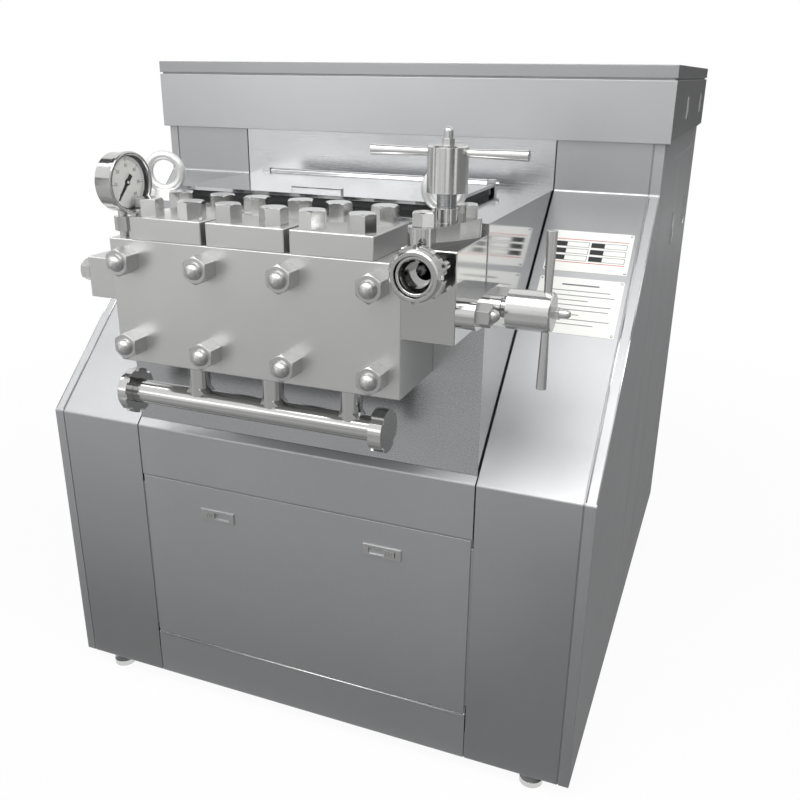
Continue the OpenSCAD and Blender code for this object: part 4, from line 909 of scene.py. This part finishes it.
@dataclass
class Gauge:
    """The marks, numbers and rings of the pressure gauge.

    Attributes:
        centre: Middle of the gauge.
        turn_deg: Turn of the face from the front towards the right.
        dial_y: Distance of the dial's surface behind the gauge's middle along its own axis.
        mark_r: Outer radius of the marks.
        mark_l: Length of a long, a middle and a short mark.
        mark_w: Width of a long mark and of the others.
        ink_t: Thickness of the printing ink.
        ring_r: Inner and outer radius of the black ring round the dial, which is painted shade for the
            bezel's shadow.
        ring_z: Lower and upper end of that ring above the dial.
        ring_break: How far its inner edge is broken.
        bezel_r: Inner and outer radius of the rolled lip on the bezel.
        bezel_z: Height of the bezel's flat front above the dial.
        bezel_h: Height of the lip.
        first_deg: Angle of the first mark, clockwise from straight down.
        sweep_deg: Angle from the first to the last mark.
        marks: Number of steps between the marks.
        long_step: Number of steps from one long mark to the next.
        digit_h: Height of a number's line.
        digit_in: Distance of the numbers' middle inside the marks' outer end.
    """

    centre: Vector = field(default_factory=lambda: Vector((-0.204, -0.598, 0.960)))
    turn_deg: float = 86.0
    dial_y: float = -0.0125
    mark_r: float = 0.033
    mark_l: Triple = (0.006, 0.0045, 0.003)
    mark_w: Pair = (0.0008, 0.0004)
    ink_t: float = 0.00006
    ring_r: Pair = (0.0352, 0.0368)
    ring_z: Pair = (0.0002, 0.0053)
    ring_break: float = 0.0004
    bezel_r: Pair = (0.0373, 0.0419)
    bezel_z: float = 0.0085
    bezel_h: float = 0.0016
    first_deg: float = 40.0
    sweep_deg: float = 280.0
    marks: int = 60
    long_step: int = 10
    digit_h: float = 0.0068
    digit_in: float = 0.0105

    @property
    def face(self) -> Matrix:
        """The dial's surface: its XY plane is the dial seen from the front, its Z axis points out of it."""
        turn = Matrix.Rotation(math.radians(self.turn_deg), 4, "Z")
        return Matrix.Translation(self.centre) @ turn @ Matrix.Translation((0, self.dial_y, 0)) @ TO_FRONT

    def angle(self, mark: int) -> float:
        """Finds the direction of a mark from the dial's middle.

        Args:
            mark: Number of the mark, from 0.

        Returns:
            The angle in radians, anticlockwise from the right.
        """
        return math.radians(-90 - self.first_deg - self.sweep_deg * mark / self.marks)

    def scale(self) -> None:
        """Builds the marks of the dial."""
        long, middle, short = self.mark_l
        mesh = bmesh.new()
        for k in range(self.marks + 1):
            whole = k % self.long_step == 0
            length = long if whole else short if k % (self.long_step // 2) else middle
            turn = Matrix.Rotation(self.angle(k), 4, "Z")
            spot = Matrix.Translation((self.mark_r - length / 2, 0, 0))
            size = Vector((length, self.mark_w[0 if whole else 1], self.ink_t))
            rounded_plate(size, 0, self.face @ turn @ spot, mesh)
        add_piece("dial_marks", mesh, INK, MACHINE)

    def rings(self) -> None:
        """Builds the black ring round the dial, painted shade for the bezel's shadow, and the rolled lip of
        the bezel.
        """
        inner, outer = self.ring_r
        base, top = self.ring_z
        # The black ring stands in for the bezel's shadow on the dial's edge: painted shade
        ring = bmesh.new()
        spun([(inner, base), (outer, base), (outer, top), (inner + self.ring_break, top)],
             self.face, RING_STEPS, ring)
        add_piece("dial_shade_ring", ring, GASKET, MACHINE, True)
        low, high = self.bezel_r
        half = (high - low) / 2
        lip = bmesh.new()
        spun([(low + half - half * c, self.bezel_z + self.bezel_h * s)
              for c, s in half_circle(EDGE_STEPS)], self.face, RING_STEPS, lip)
        add_piece("bezel_lip", lip, BRIGHT, MACHINE, True)

    def build(self) -> None:
        """Builds the marks, the rings and the numbers of the dial."""
        self.scale()
        self.rings()
        for mark in range(0, self.marks + 1, self.long_step):
            self.number(mark)

    def number(self, mark: int) -> None:
        """Builds one number of the dial.

        Args:
            mark: The mark that the number stands at, which is also what it says.
        """
        curve = bpy.data.curves.new("number", "FONT")
        curve.body = str(mark)
        curve.align_x = "CENTER"
        curve.align_y = "CENTER"
        curve.size = self.digit_h
        curve.extrude = self.ink_t / 2
        text = bpy.data.objects.new("number", curve)
        bpy.context.scene.collection.objects.link(text)
        bpy.context.view_layer.update()
        data = bpy.data.meshes.new_from_object(text.evaluated_get(bpy.context.evaluated_depsgraph_get()))
        bpy.data.objects.remove(text)
        shape = bmesh.new()
        shape.from_mesh(data)
        reach = self.mark_r - self.digit_in
        angle = self.angle(mark)
        spot = Matrix.Translation((reach * math.cos(angle), reach * math.sin(angle), self.ink_t / 2))
        bmesh.ops.transform(shape, matrix=self.face @ spot, verts=shape.verts)
        add_piece(f"dial_number_{mark}", shape, INK, MACHINE)


@dataclass(frozen=True)
class Card:
    """A flat studio card that only shows in the metal.

    Attributes:
        name: The card's name.
        low: One corner.
        high: The opposite corner; the card is flat along the axis where both agree.
        shade: Brightness of the card.
    """

    name: str
    low: Triple
    high: Triple
    shade: float

    def build(self) -> None:
        """Builds the card and hides it from all but glossy light."""
        low, high = Vector(self.low), Vector(self.high)
        mesh = bmesh.new()
        bmesh.ops.create_cube(mesh, size=1.0)
        bmesh.ops.scale(mesh, vec=high - low, verts=mesh.verts)
        bmesh.ops.translate(mesh, vec=(low + high) / 2, verts=mesh.verts)
        material, tree = fresh_material(self.name)
        glow = add_node(tree, "Emission", {"Strength": self.shade})
        add_node(tree, "OutputMaterial", {"Surface": glow})
        card = mesh_object(self.name, mesh, material)
        for ray in ("camera", "diffuse", "transmission", "shadow"):
            setattr(card, "visible_" + ray, False)


# Grey floor, ceiling and walls of the room, as far as the steel mirrors them
CARDS = (
    Card("floor_foot", (-1.6, -0.80, 0.0005), (0.30, -0.51, 0.0006), 0.26),
    Card("floor_near", (-1.6, -1.15, 0.0005), (0.30, -0.80, 0.0006), 0.38),
    Card("floor_middle", (-1.6, -1.7, 0.0005), (0.30, -1.15, 0.0006), 0.52),
    Card("floor_near_right", (0.30, -1.7, 0.0005), (4.0, -0.51, 0.0006), 0.27),
    Card("floor_far_left", (-5.0, -6.0, 0.0005), (-1.5, -1.7, 0.0006), 0.54),
    Card("floor_far_right", (-1.5, -6.0, 0.0005), (4.0, -1.7, 0.0006), 0.48),
    Card("floor_right", (0.453, -0.51, 0.0005), (4.0, 5.0, 0.0006), 0.26),
    Card("floor_left", (-5.0, -1.7, 0.0005), (-1.6, 5.0, 0.0006), 0.55),
    Card("front_1", (-4.2, -6.0, 0.01), (-3.6, -5.99, 1.5), 0.95),
    Card("front_2", (-4.7, -6.0, 0.01), (-4.2, -5.99, 1.5), 0.10),
    Card("front_3", (-3.6, -6.0, 0.01), (-1.2, -5.99, 1.5), 0.68),
    Card("front_4", (-0.9, -6.0, 0.01), (0.4, -5.99, 2.4), 0.75),
    Card("front_5", (0.6, -6.0, 0.01), (1.0, -5.99, 2.4), 0.05),
    Card("front_6", (1.0, -6.0, 0.01), (2.6, -5.99, 2.4), 0.95),
    Card("front_7", (3.1, -6.0, 0.01), (6.0, -5.99, 2.4), 0.20),
    Card("window", (-4.6, -5.9, 1.5), (-1.8, -5.89, 2.7), 2.2),
    Card("left_1", (-5.0, -5.0, 0.01), (-4.99, -3.6, 2.4), 0.12),
    Card("left_2", (-5.0, -2.4, 0.01), (-4.99, -1.2, 2.4), 0.30),
    Card("left_3", (-5.0, -0.6, 0.01), (-4.99, 4.0, 2.4), 0.55),
    Card("right_1", (4.5, -5.5, 0.01), (4.51, -3.4, 2.6), 0.08),
    Card("right_2", (4.5, -2.2, 0.01), (4.51, 6.0, 2.6), 0.24),
    Card("back_right_low", (0.6, 6.0, 0.01), (4.5, 6.01, 0.5), 0.26),
    Card("back_right_high", (0.6, 6.0, 0.5), (4.5, 6.01, 2.6), 0.05),
    Card("ceiling_front", (-4.0, -1.3, 3.0), (4.0, -0.94, 3.01), 4.5),
    Card("ceiling_right", (0.42, -1.4, 2.4), (1.6, -0.85, 2.41), 3.0),
    Card("ceiling_middle", (-4.0, -0.94, 3.0), (4.0, 0.0, 3.01), 0.10),
    Card("ceiling_back", (-4.0, 0.0, 3.0), (4.0, 5.0, 3.01), 1.0),
)


@dataclass(frozen=True)
class Lamp:
    """A soft lamp.

    Attributes:
        name: The lamp's name.
        place: Where it hangs.
        aim: The point that it faces.
        size: Its width and height.
        watts: Its power.
        mirrored: Whether the metal shows it.
    """

    name: str
    place: Triple
    aim: Triple
    size: Pair
    watts: float
    mirrored: bool = True

    def build(self) -> None:
        """Hangs the lamp."""
        place, aim = Vector(self.place), Vector(self.aim)
        data = bpy.data.lights.new(self.name, "AREA")
        data.shape = "RECTANGLE"
        data.size, data.size_y = self.size
        data.energy = self.watts
        lamp = bpy.data.objects.new(self.name, data)
        lamp.location = place
        lamp.rotation_euler = (aim - place).to_track_quat("-Z", "Y").to_euler()
        lamp.visible_glossy = self.mirrored
        bpy.context.scene.collection.objects.link(lamp)


LAMPS = (
    Lamp("ceiling_lamp", (0.1, -1.9, 3.1), (0.1, -0.4, 0.6), (3.0, 1.4), 55.0),
    Lamp("left_lamp", (-1.0, -1.75, 0.62), (-0.1, -0.6, 0.78), (0.6, 0.5), 0.2),
    Lamp("dial_lamp", (2.2, -1.4, 1.6), (-0.2, -0.6, 0.96), (0.8, 0.8), 22.0, False),
)


@dataclass
class Studio:
    """Floor, light and camera.

    Attributes:
        eye: Place of the camera.
        aim_deg: The camera's turns about X, Y and Z.
        sensor_mm: Width of the camera's sensor.
        lens_mm: Focal length of its lens.
        clip: Nearest and farthest distance that it sees.
        room_light: Brightness of the room where it lights the machine.
        floor_half: Half the width of the floor.
        floor_z: Height of the floor, just under the feet.
        glow: Share of the floor's own white near the machine and far from it.
        glow_span: Distances from the middle between which that share changes.
        dim_mid: Middle of the floor under the machine, which gets no glow.
        dim_half: Half the width and half the depth of that stretch.
        dim_fade: Distance over which the glow comes back.
    """

    eye: Vector = field(default_factory=lambda: Vector((0.61561, -1.60319, 1.10647)))
    aim_deg: Triple = (69.23967, -0.61105, 21.66068)
    sensor_mm: float = 36.0
    lens_mm: float = 38.8328
    clip: Pair = (0.05, 60.0)
    room_light: float = 0.55
    floor_half: float = 9.0
    floor_z: float = -0.0005
    glow: Pair = (0.94, 1.0)
    glow_span: Pair = (0.9, 2.4)
    dim_mid: float = 0.075
    dim_half: Pair = (0.43, 0.475)
    dim_fade: float = 0.03

    def camera(self) -> None:
        """Sets up the camera at the photograph's place."""
        data = bpy.data.cameras.new("camera")
        data.sensor_fit = "HORIZONTAL"
        data.sensor_width = self.sensor_mm
        data.lens = self.lens_mm
        data.clip_start, data.clip_end = self.clip
        camera = bpy.data.objects.new("camera", data)
        camera.location = self.eye
        camera.rotation_euler = Euler([math.radians(a) for a in self.aim_deg], "XYZ")
        bpy.context.scene.collection.objects.link(camera)
        bpy.context.scene.camera = camera

    def background(self, tree: NodeTree) -> Node:
        """Tells whether a ray shows the background: seen directly, in metal or through glass.

        Args:
            tree: The node tree that asks.

        Returns:
            A node that gives one for such rays.
        """
        path = add_node(tree, "LightPath", {})
        glossy = add_node(tree, "Math", {"operation": "MAXIMUM", "0": path.outputs["Is Camera Ray"],
                                         "1": path.outputs["Is Glossy Ray"]})
        return add_node(tree, "Math", {"operation": "MAXIMUM", "0": glossy,
                                       "1": path.outputs["Is Transmission Ray"]})

    def glowing(self, tree: NodeTree) -> Node:
        """Works out how much of its own white the floor shows: none under the machine, most of it around.

        Args:
            tree: The floor's node tree.

        Returns:
            A node that gives that share.
        """
        place = add_node(tree, "TexCoord", {}).outputs["Object"]
        away = add_node(tree, "VectorMath", {"operation": "LENGTH", "0": place})
        white = add_node(tree, "MapRange", {"From Min": self.glow_span[0], "From Max": self.glow_span[1],
                                            "To Min": self.glow[0], "To Max": self.glow[1],
                                            "Value": away.outputs["Value"]})
        spot = add_node(tree, "SeparateXYZ", {"Vector": place})
        beyond = []
        for axis, middle, half in (("X", 0.0, self.dim_half[0]), ("Y", self.dim_mid, self.dim_half[1])):
            off = add_node(tree, "Math", {"operation": "SUBTRACT", "0": spot.outputs[axis], "1": middle})
            size = add_node(tree, "Math", {"operation": "ABSOLUTE", "0": off})
            beyond.append(add_node(tree, "Math", {"operation": "SUBTRACT", "0": size, "1": half}))
        outside = add_node(tree, "Math", {"operation": "MAXIMUM", "0": beyond[0], "1": beyond[1]})
        lit = add_node(tree, "MapRange", {"From Max": self.dim_fade, "Value": outside})
        return add_node(tree, "Math", {"operation": "MULTIPLY", "0": lit, "1": white})

    def floor(self) -> None:
        """Builds the pale floor, white where it is seen, with the machine's shadow kept."""
        mesh = bmesh.new()
        bmesh.ops.create_grid(mesh, x_segments=1, y_segments=1, size=self.floor_half)
        bmesh.ops.translate(mesh, vec=(0, 0, self.floor_z), verts=mesh.verts)
        material, tree = fresh_material("floor_paint_white")
        dull = add_node(tree, "BsdfDiffuse", {"Color": linear("f4f4f4")})
        glow = add_node(tree, "Emission", {"Strength": 1.0})
        share = add_node(tree, "Math", {"operation": "MULTIPLY", "0": self.background(tree),
                                        "1": self.glowing(tree)})
        both = add_node(tree, "MixShader", {"0": share, "1": dull, "2": glow})
        add_node(tree, "OutputMaterial", {"Surface": both})
        floor = mesh_object("floor", mesh, material)

    def world(self) -> None:
        """Sets up the white room."""
        world = bpy.data.worlds.new("room")
        bpy.context.scene.world = world
        world.use_nodes = True
        tree = world.node_tree
        tree.nodes.clear()
        plain = add_node(tree, "Background", {"Color": linear("e6e6e6"), "Strength": self.room_light})
        white = add_node(tree, "Background", {"Color": linear("ffffff"), "Strength": 1.0})
        both = add_node(tree, "MixShader", {"0": self.background(tree), "1": plain, "2": white})
        add_node(tree, "OutputWorld", {"Surface": both})

    def build(self) -> None:
        """Builds floor, room, lamps, cards and camera."""
        self.camera()
        self.floor()
        self.world()
        for lamp in LAMPS:
            lamp.build()
        for card in CARDS:
            card.build()


def main() -> None:
    """Builds the machine's looks and the studio round it."""
    logging.basicConfig(level=logging.INFO, format="%(message)s")
    bpy.context.scene.view_settings.view_transform = "Standard"
    for finish in (*COATS, *TRIM):
        SHOP[finish.name] = finish.build()
    for finish, nodes in COATS.items():
        for node in nodes:
            coat(node, finish)
    for group in (Cabinet(), Crankcase(), PumpHead(), Gauge(), Studio()):
        group.build()


if __name__ == "__main__":
    main()
